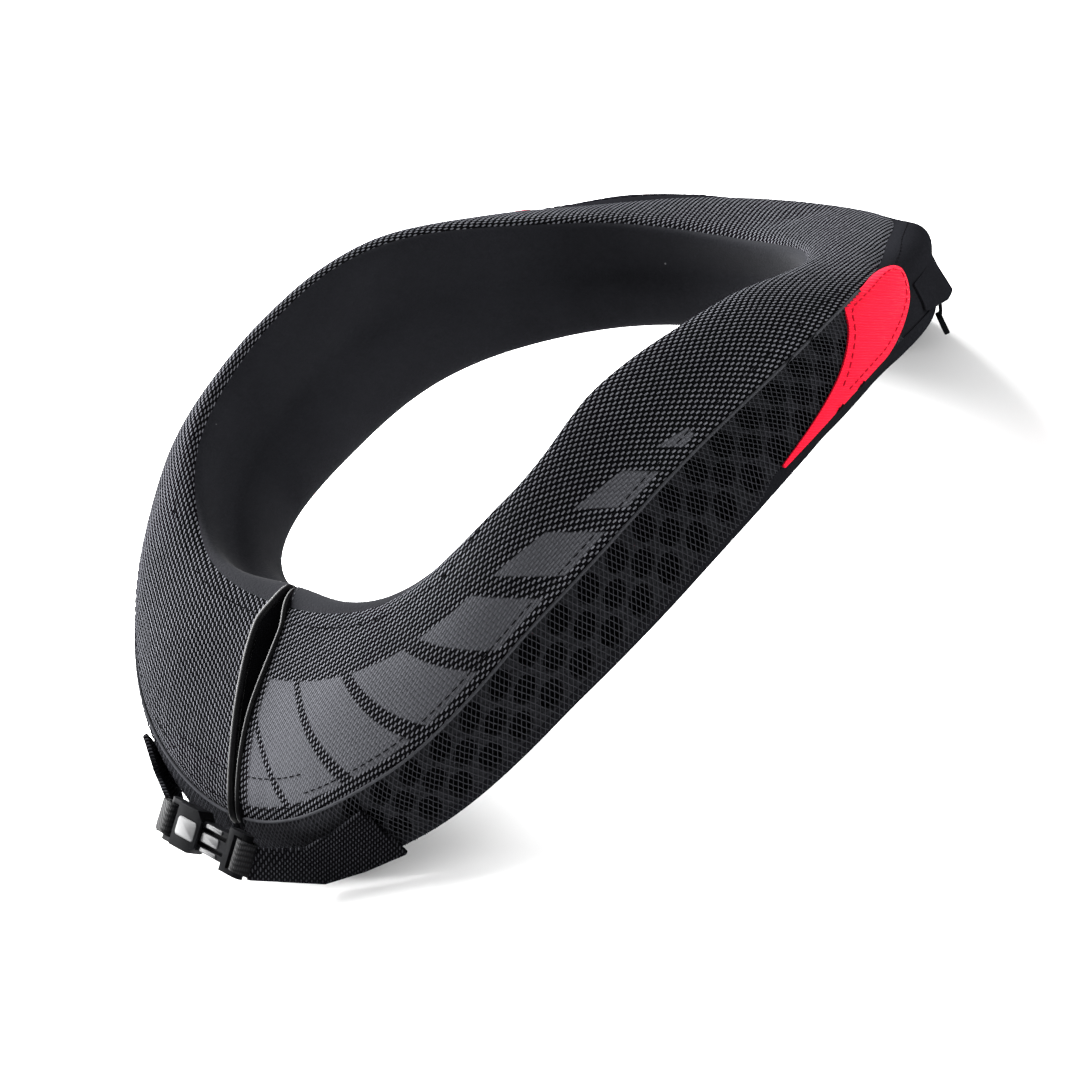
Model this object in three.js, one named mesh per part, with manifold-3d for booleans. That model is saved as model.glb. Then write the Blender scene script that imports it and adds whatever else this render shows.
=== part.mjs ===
import * as THREE from 'three';
import { mergeVertices } from 'three/addons/utils/BufferGeometryUtils.js';
import Module from 'manifold-3d';

const wasm = await Module();
wasm.setup();

// A padded neck collar: a foam ring with a front slit, cloth panels over it, perforated pads at its sides,
// a red tag behind each pad and a buckled strap that closes the slit.
// Sizes are in millimetres: +X is the wearer's left, +Y the wearer's back and +Z up.

// Driving dimensions
const COVER = 2;
const PAD = 2.5;
const NET_ROOM = 0.6;
const SEAT = 0.3;
const RINGS_A_SIDE = 22;
const STEPS = { liner: 7, top: 6, side: 3, foot: 6 };

// The slit between the two front ends: its half width where it is shut and where it gapes, how far out from
// the neck's axis it gapes most, and how far from there it shuts towards the neck and away from it.
const SLIT = { shut: 0.8, gape: 5.4, at: 91, spanIn: 7, spanOut: 20 };

// Sections at equal turns from the slit to the middle of the back. Each pair is out from the neck's axis
// and up from the surface, below it where the weight presses the foot flat. The liner ends so far past the
// ridge, and the top panel so far past the seam, both negative towards the neck. The crown is how far the
// top panel swells out of a straight line from the ridge to the seam. A row gives inner edge, ridge, seam,
// hem and foot, then the trim: liner, top panel and crown.
const SECTIONS = [
  sectionRow([66, 44], [77, 66.5], [131, 19], [130, -2], [115, -2], [3.5, 0, 6.5]),
  sectionRow([72, 45], [87.5, 70], [129.5, 36.5], [127.5, 11], [117, 13.5], [1.5, 0, 5.5]),
  sectionRow([77, 44], [90.5, 88], [118, 64], [119.5, 34.5], [112, 34.5], [-2.5, 0, 4]),
  sectionRow([78, 44], [84.5, 98.5], [111.5, 75.5], [121.5, 51.2], [114, 49.5], [-1.5, 0, 4]),
  sectionRow([89, 43], [98.5, 92.5], [126, 77], [132, 52.5], [126, 49.5], [0.5, 1, 3.5]),
  sectionRow([106, 31], [117.5, 67.5], [151.5, 53.5], [148, 31], [142, 28.5], [0, -8, 1.5]),
  sectionRow([114, 21], [121, 53], [164.5, 35.5], [152, -5], [139, -5], [1.5, -1, 2.5]),
];

function sectionRow(inner, ridge, seam, hem, foot, trim) {
  return { inner, ridge, seam, hem, foot, trim };
}

// How far each other face of a section stands out of a straight line between its edges.
const NECK_ROLL = { share: 0.3, rise: 3 };
const NECK_CREASE = { share: 0.62, rise: -1 };
const TOP_CROWN_SHARE = 0.5;
const SIDE_CROWN = { share: 0.5, rise: 2.5 };
const FOOT_FLAT = { share: 0.55, rise: 0 };
const FOOT_LAP = 6;
const HEM_LAP = 3;

// Perforated side pads
const PAD_END_RING = 16;
const TRIM_TURN = 0.1;
const VENT = { radius: 4.2, sides: 6, pitch: 12, fromTurn: 23, blocks: 18, slant: 1.6 };
const VENT_ROWS = [0.19, 0.5, 0.81];
const PLAIN_BLOCKS = 3;
const PAD_SEAT = 0.9;

// The red tag, with shares of the way down the side face that its two edges reach at each turn.
const TAG_THICK = 1.2;
const TAG_STEPS = 4;
const TAG_ROWS = [
  { turn: 100, upper: 0.94, lower: 0.99 },
  { turn: 106, upper: 0.86, lower: 0.99 },
  { turn: 112, upper: 0.76, lower: 0.99 },
  { turn: 117, upper: 0.6, lower: 0.99 },
  { turn: 122, upper: 0.34, lower: 0.99 },
  { turn: 127, upper: 0.03, lower: 0.96 },
  { turn: 131, upper: 0.02, lower: 0.8 },
  { turn: 134, upper: 0.04, lower: 0.58 },
  { turn: 136.5, upper: 0.1, lower: 0.28 },
];

// The flap over the foot of the back, and the pull that hangs at its end
const FLAP = { fromRing: 17, upper: 0.55, lower: 0.92, flare: 1.5, thick: 1.6, steps: 3 };
const PULL = { turn: 146, long: 6.5, wide: 4.5, thick: 1.8 };

// Piping along the slit
const PIPING = { radius: 1.6, sides: 8, steps: 14, lowerShare: 0.1 };

// Strap and side-release buckle
const BUCKLE_AT = new THREE.Vector3(-1, -142, 19.5);
const BUCKLE_TILT = { lean: -48, droop: 6, yaw: -2 };
const BUCKLE = { wide: 16, thick: 7, barAt: 18.5, crossEnd: 11, crossLong: 2.8 };
const SOCKET = { end: -14, mouth: -1.5, corner: 3 };
const BAR = { radius: 2, sides: 12 };
const RAIL = { wide: 1.8, bite: 1 };
const PRONG = { thick: 4.2, tongueHalf: 2, tongueShort: 2, armIn: 3.4, armOut: 5.4, reach: -10, play: 1.3 };
const WEBBING = { wide: 11.5, thick: 1.3, long: 6, eyeLong: 4 };
const TAB_THICK = 1.8;
const TAB_ROOT = { half: 5.2, drop: 0.5 };
const TAB_ROWS = [
  { turn: 14, share: 0.7, half: 7.5, lift: 3.5, skew: 0 },
  { turn: 20, share: 0.71, half: 8.5, lift: 1.6, skew: 0.15 },
  { turn: 26, share: 0.71, half: 9.6, lift: 0.1, skew: 0.3 },
];

// Finishes
const finish = (color, roughness) => new THREE.MeshStandardMaterial({ color, roughness, metalness: 0 });
const FINISHES = {
  foam: finish(0x17181a, 0.95),
  woven: finish(0x3a3c40, 0.85),
  liner: finish(0x1c1e21, 0.9),
  plain: finish(0x1a1b1e, 0.8),
  red: finish(0xd8203c, 0.8),
  piping: finish(0x121316, 0.35),
  plastic: finish(0x0e0f11, 0.25),
};

// Section outlines
const FULL_TURN = 360;
const HALF_TURN = 180;
const AROUND = [...SECTIONS, ...SECTIONS.slice(1, -1).reverse()];

function ringLine(valuesOf) {
  const points = AROUND.map((row) => new THREE.Vector3(...valuesOf(row)));
  return new THREE.CatmullRomCurve3(points, true, 'catmullrom', 0.5);
}

const LINES = {
  inner: ringLine((row) => row.inner),
  ridge: ringLine((row) => row.ridge),
  seam: ringLine((row) => row.seam),
  hem: ringLine((row) => row.hem),
  foot: ringLine((row) => row.foot),
  trim: ringLine((row) => row.trim),
};

// A point part of the way along a face, raised out of the section.
function raised(from, to, { share, rise }) {
  const along = to.clone().sub(from).normalize();
  const outward = new THREE.Vector3(-along.y, along.x, 0);
  return from.clone().lerp(to, share).addScaledVector(outward, rise);
}

// Places on an outline are counted by its control points, from the liner's foot over the ridge to the hem.
const PLACE = { inner: 0, ridge: 3, seam: 5, hem: 7, count: 10 };
const PROBE = 0.02;

class Section {
  constructor(turn) {
    const share = turn / FULL_TURN;
    const [inner, ridge, seam, hem, foot, trim] = Object.values(LINES).map((line) => line.getPoint(share));
    const controls = [
      inner,
      raised(inner, ridge, NECK_ROLL),
      raised(inner, ridge, NECK_CREASE),
      ridge,
      raised(ridge, seam, { share: TOP_CROWN_SHARE, rise: trim.z }),
      seam,
      raised(seam, hem, SIDE_CROWN),
      hem,
      foot,
      raised(foot, inner, FOOT_FLAT),
    ];
    this.turn = turn;
    this.curve = new THREE.CatmullRomCurve3(controls, true, 'centripetal');
    this.linerTop = this.moved(PLACE.ridge, trim.x);
    this.topEdge = this.moved(PLACE.seam, trim.y);
    this.hemSeam = this.moved(PLACE.hem, -HEM_LAP);
    this.linerFoot = this.moved(PLACE.count, -FOOT_LAP);
  }

  // The outline at a place, flat where the cloth rests on the surface.
  point(place) {
    const at = this.curve.getPoint(THREE.MathUtils.euclideanModulo(place / PLACE.count, 1));
    return new THREE.Vector2(at.x, Math.max(at.y, 0));
  }

  along(place) {
    return this.point(place + PROBE).sub(this.point(place - PROBE));
  }

  outward(place) {
    const along = this.along(place).normalize();
    return new THREE.Vector2(-along.y, along.x);
  }

  // A place so many millimetres further along the outline.
  moved(place, distance) {
    return place + (distance * 2 * PROBE) / this.along(place).length();
  }

  // A point at a height over the outline, or under it when negative.
  over(place, height) {
    return this.point(place).addScaledVector(this.outward(place), height);
  }

  // The place at a share of the way down the side face.
  side(share) {
    return THREE.MathUtils.lerp(this.topEdge, this.hemSeam, share);
  }
}

const SECTION_CACHE = new Map();

function sectionAt(turn) {
  if (!SECTION_CACHE.has(turn)) SECTION_CACHE.set(turn, new Section(turn));
  return SECTION_CACHE.get(turn);
}

// Where a point of a section stands, with its front end set back from the slit.
function slitHalf(out) {
  const away = (out - SLIT.at) / (out < SLIT.at ? SLIT.spanIn : SLIT.spanOut);
  return SLIT.shut + (SLIT.gape - SLIT.shut) * Math.exp(-away * away);
}

function angleOf(point, turn, setBack) {
  const start = Math.asin((slitHalf(point.x) + setBack) / point.x);
  return start + (Math.PI - start) * (turn / HALF_TURN);
}

function standing(point, { turn, hand }, setBack) {
  const angle = angleOf(point, turn, setBack);
  return new THREE.Vector3(hand * point.x * Math.sin(angle), -point.x * Math.cos(angle), point.y);
}

// Closed bodies lofted through rings of points
// A cap's faces run across its ring like the rungs of a ladder, and may end in a fan from one of its points.
function capFaces(count, fanFrom) {
  const faces = [];
  let [near, far] = [0, count - 1];
  while (near + 1 < far) {
    if (near < fanFrom) {
      faces.push([near, near + 1, far]);
      near += 1;
    }
    if (near + 1 < far) {
      faces.push([near, far - 1, far]);
      far -= 1;
    }
  }
  return faces;
}

function signedVolume(positions, index) {
  const [a, b, c] = [new THREE.Vector3(), new THREE.Vector3(), new THREE.Vector3()];
  let total = 0;
  for (let i = 0; i < index.length; i += 3) {
    a.fromArray(positions, 3 * index[i]);
    b.fromArray(positions, 3 * index[i + 1]);
    c.fromArray(positions, 3 * index[i + 2]);
    total += a.dot(b.cross(c));
  }
  return total;
}

function closedGeometry(positions, index) {
  if (signedVolume(positions, index) < 0) index.reverse();
  const geometry = new THREE.BufferGeometry();
  geometry.setAttribute('position', new THREE.Float32BufferAttribute(positions, 3));
  geometry.setIndex(index);
  return geometry;
}

// Each four-sided patch is split along its shorter diagonal, so that layers over each other stay clear.
function loft(rings, fanFrom = rings[0].length) {
  const count = rings[0].length;
  const positions = rings.flat().flatMap((point) => point.toArray());
  const index = [];
  for (let ring = 0; ring < rings.length - 1; ring += 1) {
    for (let step = 0; step < count; step += 1) {
      const a = ring * count + step;
      const b = ring * count + ((step + 1) % count);
      const [near, far] = [rings[ring], rings[ring + 1]];
      const next = (step + 1) % count;
      const forward = near[step].distanceTo(far[next]) < near[next].distanceTo(far[step]);
      if (forward) index.push(a, b, b + count, a, b + count, a + count);
      else index.push(a, b, a + count, b, b + count, a + count);
    }
  }
  const last = (rings.length - 1) * count;
  for (const [a, b, c] of capFaces(count, fanFrom)) index.push(a, c, b, last + a, last + b, last + c);
  return closedGeometry(positions, index);
}

function sweep(stations, loopOf, setBack, fanFrom) {
  const ringAt = (station) => (
    loopOf(sectionAt(station.turn)).map((point) => standing(point, station, setBack)));
  return loft(stations.map(ringAt), fanFrom);
}

// Stations round the ring, from one side to the other by way of the back.
function spaced(from, to, count) {
  return Array.from({ length: count + 1 }, (_, i) => THREE.MathUtils.lerp(from, to, i / count));
}

function turnOf(ring) {
  return (HALF_TURN * ring) / RINGS_A_SIDE;
}

function allRound(fromRing, trim = 0) {
  const turns = spaced(fromRing, RINGS_A_SIDE, RINGS_A_SIDE - fromRing).map(turnOf);
  turns[0] += trim;
  const right = turns.map((turn) => ({ turn, hand: -1 }));
  const left = right.slice(0, -1).reverse().map(({ turn }) => ({ turn, hand: 1 }));
  return [...right, ...left];
}

// The closed loop of a layer that lies between two heights over part of the outline.
function layer(section, from, to, steps, top, thick) {
  const places = spaced(from, to, steps);
  const upper = places.map((place) => section.over(place, top));
  const lower = places.map((place) => section.over(place, top - thick));
  return [...upper, ...lower.reverse()];
}

// A cover panel, trimmed so that it clears its neighbours at the seams.
function panel(section, from, to, steps) {
  return layer(section, section.moved(from, SEAT / 2), section.moved(to, -SEAT / 2), steps, 0, COVER);
}

function circleLoop(radius, sides) {
  return spaced(0, 2 * Math.PI, sides).slice(0, -1).map((angle) => (
    new THREE.Vector2(radius * Math.cos(angle), radius * Math.sin(angle))));
}

// Solids cut and joined
function solidOf(geometry) {
  const bare = new THREE.BufferGeometry();
  bare.setAttribute('position', geometry.getAttribute('position'));
  bare.setIndex(geometry.getIndex());
  const merged = mergeVertices(bare);
  const vertProperties = new Float32Array(merged.getAttribute('position').array);
  const triVerts = new Uint32Array(merged.getIndex().array);
  return new wasm.Manifold(new wasm.Mesh({ numProp: 3, vertProperties, triVerts }));
}

function geometryOf(solid) {
  const mesh = solid.getMesh();
  const geometry = new THREE.BufferGeometry();
  geometry.setAttribute('position', new THREE.Float32BufferAttribute(mesh.vertProperties, 3));
  geometry.setIndex(new THREE.Uint32BufferAttribute(mesh.triVerts, 1));
  return geometry;
}

const collar = new THREE.Group();

function add(name, geometry, material, parent = collar) {
  const mesh = new THREE.Mesh(geometry, material);
  mesh.name = name;
  parent.add(mesh);
  return mesh;
}

const HANDS = [{ hand: 1, word: 'left' }, { hand: -1, word: 'right' }];
const END_ROOM = 0.8;
const FRONT_SETBACK = COVER + END_ROOM;

// Places round the whole outline: from the middle of the side face, under the foot and back over the ridge
const SIDE_HALF = 2;
const LINER_FOOT = STEPS.side + 1 - SIDE_HALF + STEPS.foot - 1;

function outlinePlaces(section) {
  const { linerFoot, linerTop, topEdge, hemSeam } = section;
  const side = spaced(topEdge, hemSeam, STEPS.side).map((place) => ({ place, onSide: true }));
  const rest = [
    ...spaced(hemSeam, linerFoot, STEPS.foot).slice(1, -1),
    ...spaced(linerFoot - PLACE.count, linerTop, STEPS.liner),
    ...spaced(linerTop, topEdge, STEPS.top).slice(1, -1),
  ].map((place) => ({ place, onSide: false }));
  return [...side.slice(SIDE_HALF), ...rest, ...side.slice(0, SIDE_HALF)];
}

// Foam ring, hollowed under the side pads
const COVER_DEPTH = COVER + 2.5 * SEAT;
const PAD_DEPTH = NET_ROOM + PAD + PAD_SEAT;

function coreLoop(section) {
  return outlinePlaces(section).map(({ place, onSide }) => (
    section.over(place, onSide ? -PAD_DEPTH : -COVER_DEPTH)));
}

add('foam_core', sweep(allRound(0), coreLoop, FRONT_SETBACK + SEAT, LINER_FOOT), FINISHES.foam);

// Cloth panels
function linerLoop(section) {
  return panel(section, section.linerFoot - PLACE.count, section.linerTop, STEPS.liner);
}

function topLoop(section) {
  return panel(section, section.linerTop, section.topEdge, STEPS.top);
}

function undersideLoop(section) {
  return panel(section, section.hemSeam, section.linerFoot, STEPS.foot);
}

function backLoop(section) {
  return panel(section, section.topEdge, section.hemSeam, STEPS.side);
}

add('neck_liner', sweep(allRound(0), linerLoop, FRONT_SETBACK), FINISHES.liner);
add('top_panel', sweep(allRound(0), topLoop, FRONT_SETBACK), FINISHES.woven);
add('underside_panel', sweep(allRound(0), undersideLoop, FRONT_SETBACK), FINISHES.plain);
add('back_panel', sweep(allRound(PAD_END_RING, TRIM_TURN), backLoop, FRONT_SETBACK), FINISHES.plain);

// Perforated pads, made in blocks along the side. Each block leans, so that its rows of holes are staggered.
// A block is drawn flat, as distance along the pad and share of the way down it, and then laid on the foam.
const PAD_MIDDLE = 0.5;
const FLAT_SHARE = 12;
const padRadius = (turn) => sectionAt(turn).point(sectionAt(turn).side(PAD_MIDDLE)).x;

// Turns a pitch apart, so that the holes stay evenly spaced where the ring is wider.
function ventTurns() {
  const turns = [VENT.fromTurn];
  for (let block = 0; block < VENT.blocks; block += 1) {
    const turn = turns.at(-1);
    turns.push(turn + THREE.MathUtils.radToDeg(VENT.pitch / padRadius(turn)));
  }
  return turns;
}

function leaning(turn, share) {
  const lean = (share - PAD_MIDDLE) * VENT.slant * VENT.pitch;
  return turn + THREE.MathUtils.radToDeg(lean / padRadius(turn));
}

function padColumns() {
  const shares = spaced(0, 1, STEPS.side);
  const leant = ventTurns().map((turn) => shares.map((share) => ({ turn: leaning(turn, share), share })));
  const plain = (column, endTurn) => spaced(1, 0, PLAIN_BLOCKS).slice(0, -1).map((near) => (
    column.map(({ turn, share }) => ({ turn: THREE.MathUtils.lerp(turn, endTurn, near), share }))));
  const front = plain(leant[0], 0);
  const rear = plain(leant.at(-1), turnOf(PAD_END_RING) - TRIM_TURN).reverse();
  return [...front, ...leant, ...rear];
}

function ventLoop(turn, nextTurn, row) {
  const middle = (leaning(turn, row) + leaning(nextTurn, row)) / 2;
  const section = sectionAt(middle);
  const down = 1 / section.point(section.topEdge).distanceTo(section.point(section.hemSeam));
  const along = THREE.MathUtils.radToDeg(1 / padRadius(middle));
  return circleLoop(VENT.radius, VENT.sides).map(({ x, y }) => (
    { turn: middle + x * along, share: row + y * down }));
}

function plainBlock(near, far, number) {
  return near.slice(1).flatMap((_, i) => {
    const [a, b, c, d] = [near[i], near[i + 1], far[i + 1], far[i]].map(number);
    return [[a, b, c], [a, c, d]];
  });
}

function piercedBlock(near, far, holes, number) {
  const contour = [...near, ...[...far].reverse()];
  const flat = ({ turn, share }) => new THREE.Vector2(turn, FLAT_SHARE * share);
  const corners = [contour, ...holes].flat().map(number);
  const split = THREE.ShapeUtils.triangulateShape(contour.map(flat), holes.map((loop) => loop.map(flat)));
  return split.map((face) => face.map((corner) => corners[corner]));
}

function perforatedPad(hand) {
  const columns = padColumns();
  const turns = ventTurns();
  const spots = [];
  const spotOf = new Map();
  const number = (spot) => {
    const key = `${spot.turn.toFixed(4)} ${spot.share.toFixed(4)}`;
    if (!spotOf.has(key)) spotOf.set(key, spots.push(spot) - 1);
    return spotOf.get(key);
  };
  const faces = [];
  for (let i = 0; i < columns.length - 1; i += 1) {
    const vent = i - PLAIN_BLOCKS;
    const pierced = vent >= 0 && vent < VENT.blocks;
    const [near, far] = [columns[i], columns[i + 1]];
    const loops = pierced ? VENT_ROWS.map((row) => ventLoop(turns[vent], turns[vent + 1], row)) : [];
    faces.push(...(pierced ? piercedBlock(near, far, loops, number) : plainBlock(near, far, number)));
  }
  return thickened(spots, faces.map((face) => turnedOver(face, spots)), hand);
}

// A face whose corners run the same way round on the flat pad as every other face's.
function turnedOver([a, b, c], spots) {
  const flat = [a, b, c].map((corner) => new THREE.Vector2(spots[corner].turn, spots[corner].share));
  return THREE.ShapeUtils.isClockWise(flat) ? [a, c, b] : [a, b, c];
}

// Gives a flat net of faces its thickness: an outer skin, an inner skin, and walls along every open edge.
function thickened(spots, faces, hand) {
  const skin = (height) => spots.map(({ turn, share }) => {
    const section = sectionAt(turn);
    const from = section.moved(section.topEdge, SEAT / 2);
    const to = section.moved(section.hemSeam, -SEAT / 2);
    const place = THREE.MathUtils.lerp(from, to, share);
    return standing(section.over(place, height), { turn, hand }, FRONT_SETBACK);
  });
  const positions = [...skin(-NET_ROOM), ...skin(-NET_ROOM - PAD)].flatMap((point) => point.toArray());
  const inner = spots.length;
  const index = [];
  const edges = new Map();
  for (const [a, b, c] of faces) {
    index.push(a, b, c, inner + a, inner + c, inner + b);
    for (const [from, to] of [[a, b], [b, c], [c, a]]) {
      if (!edges.delete(`${to} ${from}`)) edges.set(`${from} ${to}`, [from, to]);
    }
  }
  for (const [from, to] of edges.values()) {
    index.push(to, from, inner + from, to, inner + from, inner + to);
  }
  return closedGeometry(positions, index);
}

for (const { hand, word } of HANDS) add(`vent_pad_${word}`, perforatedPad(hand), FINISHES.plain);

// Red tags, sewn on over the end of each pad
for (const { hand, word } of HANDS) {
  const rings = TAG_ROWS.map(({ turn, upper, lower }) => {
    const section = sectionAt(turn);
    const [from, to] = [section.side(upper), section.side(lower)];
    const loop = layer(section, from, to, TAG_STEPS, SEAT + TAG_THICK, TAG_THICK);
    return loop.map((point) => standing(point, { turn, hand }, FRONT_SETBACK));
  });
  add(`side_tag_${word}`, loft(rings), FINISHES.red);
}

// Flap over the foot of the back, flared at its lower edge
function flapLoop(section) {
  const places = spaced(section.side(FLAP.upper), section.side(FLAP.lower), FLAP.steps);
  const rise = (i) => SEAT + FLAP.flare * (i / FLAP.steps) ** 2;
  const outer = places.map((place, i) => section.over(place, rise(i) + FLAP.thick));
  const inner = places.map((place, i) => section.over(place, rise(i)));
  return [...outer, ...inner.reverse()];
}

add('back_flap', sweep(allRound(FLAP.fromRing), flapLoop, FRONT_SETBACK), FINISHES.plain);

// Facings that close the foam's front ends, and the piping along them
function outlineLoop(section) {
  return outlinePlaces(section).map(({ place }) => section.point(place));
}

function pipingRing(section, place, hand) {
  const station = { turn: 0, hand };
  const centre = standing(section.over(place, PIPING.radius + SEAT), station, PIPING.radius);
  const outward = section.outward(place);
  return circleLoop(PIPING.radius, PIPING.sides).map(({ x, y }) => (
    centre.clone().add(new THREE.Vector3(y, -x * outward.x, x * outward.y))));
}

for (const { hand, word } of HANDS) {
  const section = sectionAt(0);
  const loop = outlineLoop(section);
  const ringAt = (setBack) => loop.map((point) => standing(point, { turn: 0, hand }, setBack));
  add(`slit_facing_${word}`, loft([ringAt(0), ringAt(COVER)], LINER_FOOT), FINISHES.liner);
  const places = spaced(section.linerTop, section.side(PIPING.lowerShare), PIPING.steps);
  const rope = loft(places.map((place) => pipingRing(section, place, hand)));
  add(`slit_piping_${word}`, rope, FINISHES.piping);
}

// Buckle, drawn along its own strap: x along the strap, y across it and z out of its face
const fastening = new THREE.Group();
fastening.position.copy(BUCKLE_AT);
fastening.rotation.set(
  THREE.MathUtils.degToRad(90 + BUCKLE_TILT.lean),
  THREE.MathUtils.degToRad(BUCKLE_TILT.droop),
  THREE.MathUtils.degToRad(BUCKLE_TILT.yaw),
  'ZYX',
);
collar.add(fastening);
fastening.updateMatrixWorld(true);

function outlineShape(pairs) {
  return new THREE.Shape(pairs.map(([x, y]) => new THREE.Vector2(x, y)));
}

function slab(pairs, thick) {
  const options = { depth: thick, bevelEnabled: false };
  return new THREE.ExtrudeGeometry(outlineShape(pairs), options).translate(0, 0, -thick / 2);
}

function merged(geometry) {
  geometry.deleteAttribute('normal');
  geometry.deleteAttribute('uv');
  return mergeVertices(geometry);
}

function strapBar(at) {
  const bar = new THREE.CylinderGeometry(BAR.radius, BAR.radius, BUCKLE.wide, BAR.sides);
  return solidOf(merged(bar.translate(at, 0, 0)));
}

function rails(from, to, thick) {
  return [-1, 1].map((edge) => {
    const rail = new THREE.BoxGeometry(to - from, RAIL.wide, thick);
    rail.translate((from + to) / 2, edge * (BUCKLE.wide - RAIL.wide) / 2, 0);
    return solidOf(merged(rail));
  });
}

function buckleSocket() {
  const half = BUCKLE.wide / 2;
  const { end, mouth, corner } = SOCKET;
  const body = solidOf(merged(slab([
    [end, -half], [mouth - corner, -half], [mouth, corner - half],
    [mouth, half - corner], [mouth - corner, half], [end, half],
  ], BUCKLE.thick)));
  const deep = PRONG.reach - PRONG.play;
  const wide = PRONG.armOut + SEAT;
  const pocket = slab([[deep, -wide], [0, -wide], [0, wide], [deep, wide]], PRONG.thick + 2 * SEAT);
  const frame = rails(-BUCKLE.barAt, end + RAIL.bite, PRONG.thick);
  const hollow = body.subtract(solidOf(merged(pocket)));
  return hollow.add(frame[0]).add(frame[1]).add(strapBar(-BUCKLE.barAt));
}

function buckleProng() {
  const half = BUCKLE.wide / 2;
  const { crossEnd, crossLong, barAt } = BUCKLE;
  const { tongueHalf, armIn, armOut, reach, thick } = PRONG;
  const tip = reach + PRONG.tongueShort;
  const comb = solidOf(merged(slab([
    [crossEnd + crossLong, -half], [crossEnd + crossLong, half], [crossEnd, half],
    [crossEnd, armOut], [reach, armOut], [reach, armIn], [crossEnd, armIn],
    [crossEnd, tongueHalf], [tip, tongueHalf], [tip, -tongueHalf], [crossEnd, -tongueHalf],
    [crossEnd, -armIn], [reach, -armIn], [reach, -armOut], [crossEnd, -armOut], [crossEnd, -half],
  ], thick)));
  const frame = rails(crossEnd + RAIL.bite, barAt, thick);
  return comb.add(frame[0]).add(frame[1]).add(strapBar(barAt));
}

add('buckle_socket', geometryOf(buckleSocket()), FINISHES.plastic, fastening);
add('buckle_prong', geometryOf(buckleProng()), FINISHES.plastic, fastening);

// Webbing folded round each strap bar, its two legs sewn together at the end
function foldedWebbing(hand) {
  const inner = BAR.radius + SEAT;
  const lean = Math.acos(inner / WEBBING.long);
  const eyeLean = Math.acos(inner / WEBBING.eyeLong);
  const shape = new THREE.Shape();
  shape.absarc(0, 0, inner + WEBBING.thick, lean, 2 * Math.PI - lean, false);
  shape.lineTo(WEBBING.long, -WEBBING.thick);
  shape.lineTo(WEBBING.long, WEBBING.thick);
  const eye = new THREE.Path();
  eye.absarc(0, 0, inner, eyeLean, 2 * Math.PI - eyeLean, false);
  eye.lineTo(WEBBING.eyeLong, 0);
  shape.holes.push(eye);
  const options = { depth: WEBBING.wide, bevelEnabled: false, curveSegments: 6 };
  const fold = new THREE.ExtrudeGeometry(shape, options).translate(0, 0, -WEBBING.wide / 2);
  fold.rotateX(Math.PI / 2);
  if (hand < 0) fold.rotateZ(Math.PI);
  return merged(fold.translate(hand * BUCKLE.barAt, 0, 0));
}

// Woven tab from the folded webbing round to the side of the collar
function tabRing(centre, across, out, half) {
  const thin = TAB_THICK / 2;
  return [[-half, thin], [half, thin], [half, -thin], [-half, -thin]].map(([width, height]) => (
    centre.clone().addScaledVector(across, width).addScaledVector(out, height)));
}

function strapTab(hand) {
  const turned = new THREE.Matrix3().setFromMatrix4(fastening.matrixWorld);
  const up = new THREE.Vector3(0, 1, 0).applyMatrix3(turned);
  const face = new THREE.Vector3(0, 0, 1).applyMatrix3(turned);
  const along = hand * (BUCKLE.barAt + WEBBING.long + SEAT);
  const root = new THREE.Vector3(along, -TAB_ROOT.drop, 0).applyMatrix4(fastening.matrixWorld);
  const laid = TAB_ROWS.map(({ turn, share, half, lift, skew }) => {
    const section = sectionAt(turn);
    const place = section.side(share);
    const centre = standing(section.over(place, lift + TAB_THICK / 2), { turn, hand }, FRONT_SETBACK);
    const angle = angleOf(section.point(place), turn, FRONT_SETBACK);
    const [sine, cosine] = [Math.sin(angle), Math.cos(angle)];
    const radial = (flat) => new THREE.Vector3(hand * flat.x * sine, -flat.x * cosine, flat.y);
    const onward = new THREE.Vector3(hand * cosine, sine, 0);
    const across = radial(section.along(place).normalize().negate()).addScaledVector(onward, -skew);
    return tabRing(centre, across, radial(section.outward(place)), half);
  });
  return loft([tabRing(root, up, face, TAB_ROOT.half), ...laid]);
}

for (const { hand, word } of HANDS) {
  add(`strap_webbing_${word}`, foldedWebbing(hand), FINISHES.plain, fastening);
  add(`strap_tab_${word}`, strapTab(hand), FINISHES.woven);
}

// Pull that hangs under the end of the flap
function hangingPull() {
  const section = sectionAt(PULL.turn);
  const away = 2 * SEAT + PULL.thick / 2;
  const hook = standing(section.over(PLACE.hem, away), { turn: PULL.turn, hand: 1 }, FRONT_SETBACK);
  const half = PULL.wide / 2;
  const pull = slab([[-half, 0], [half, 0], [half, -PULL.long], [-half, -PULL.long]], PULL.thick);
  pull.rotateX(Math.PI / 2);
  pull.rotateZ(THREE.MathUtils.degToRad(PULL.turn));
  return merged(pull.translate(hook.x, hook.y, hook.z));
}

add('zip_pull', hangingPull(), FINISHES.plastic);

// The origin is the middle of the footprint, on the surface that the collar stands on.
const box = new THREE.Box3().setFromObject(collar);
const middle = box.getCenter(new THREE.Vector3());
collar.position.set(-middle.x, -middle.y, -box.min.z);

export default collar;
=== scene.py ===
"""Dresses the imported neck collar: woven top, soft liner, netted pads, red tags, piping and buckle."""

import logging
import math
from contextlib import contextmanager
from dataclasses import dataclass, field
from enum import Enum
from typing import Callable, Iterable, Iterator, Optional, Sequence

import bpy
from mathutils import Matrix, Vector, noise
from mathutils.bvhtree import BVHTree


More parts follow.
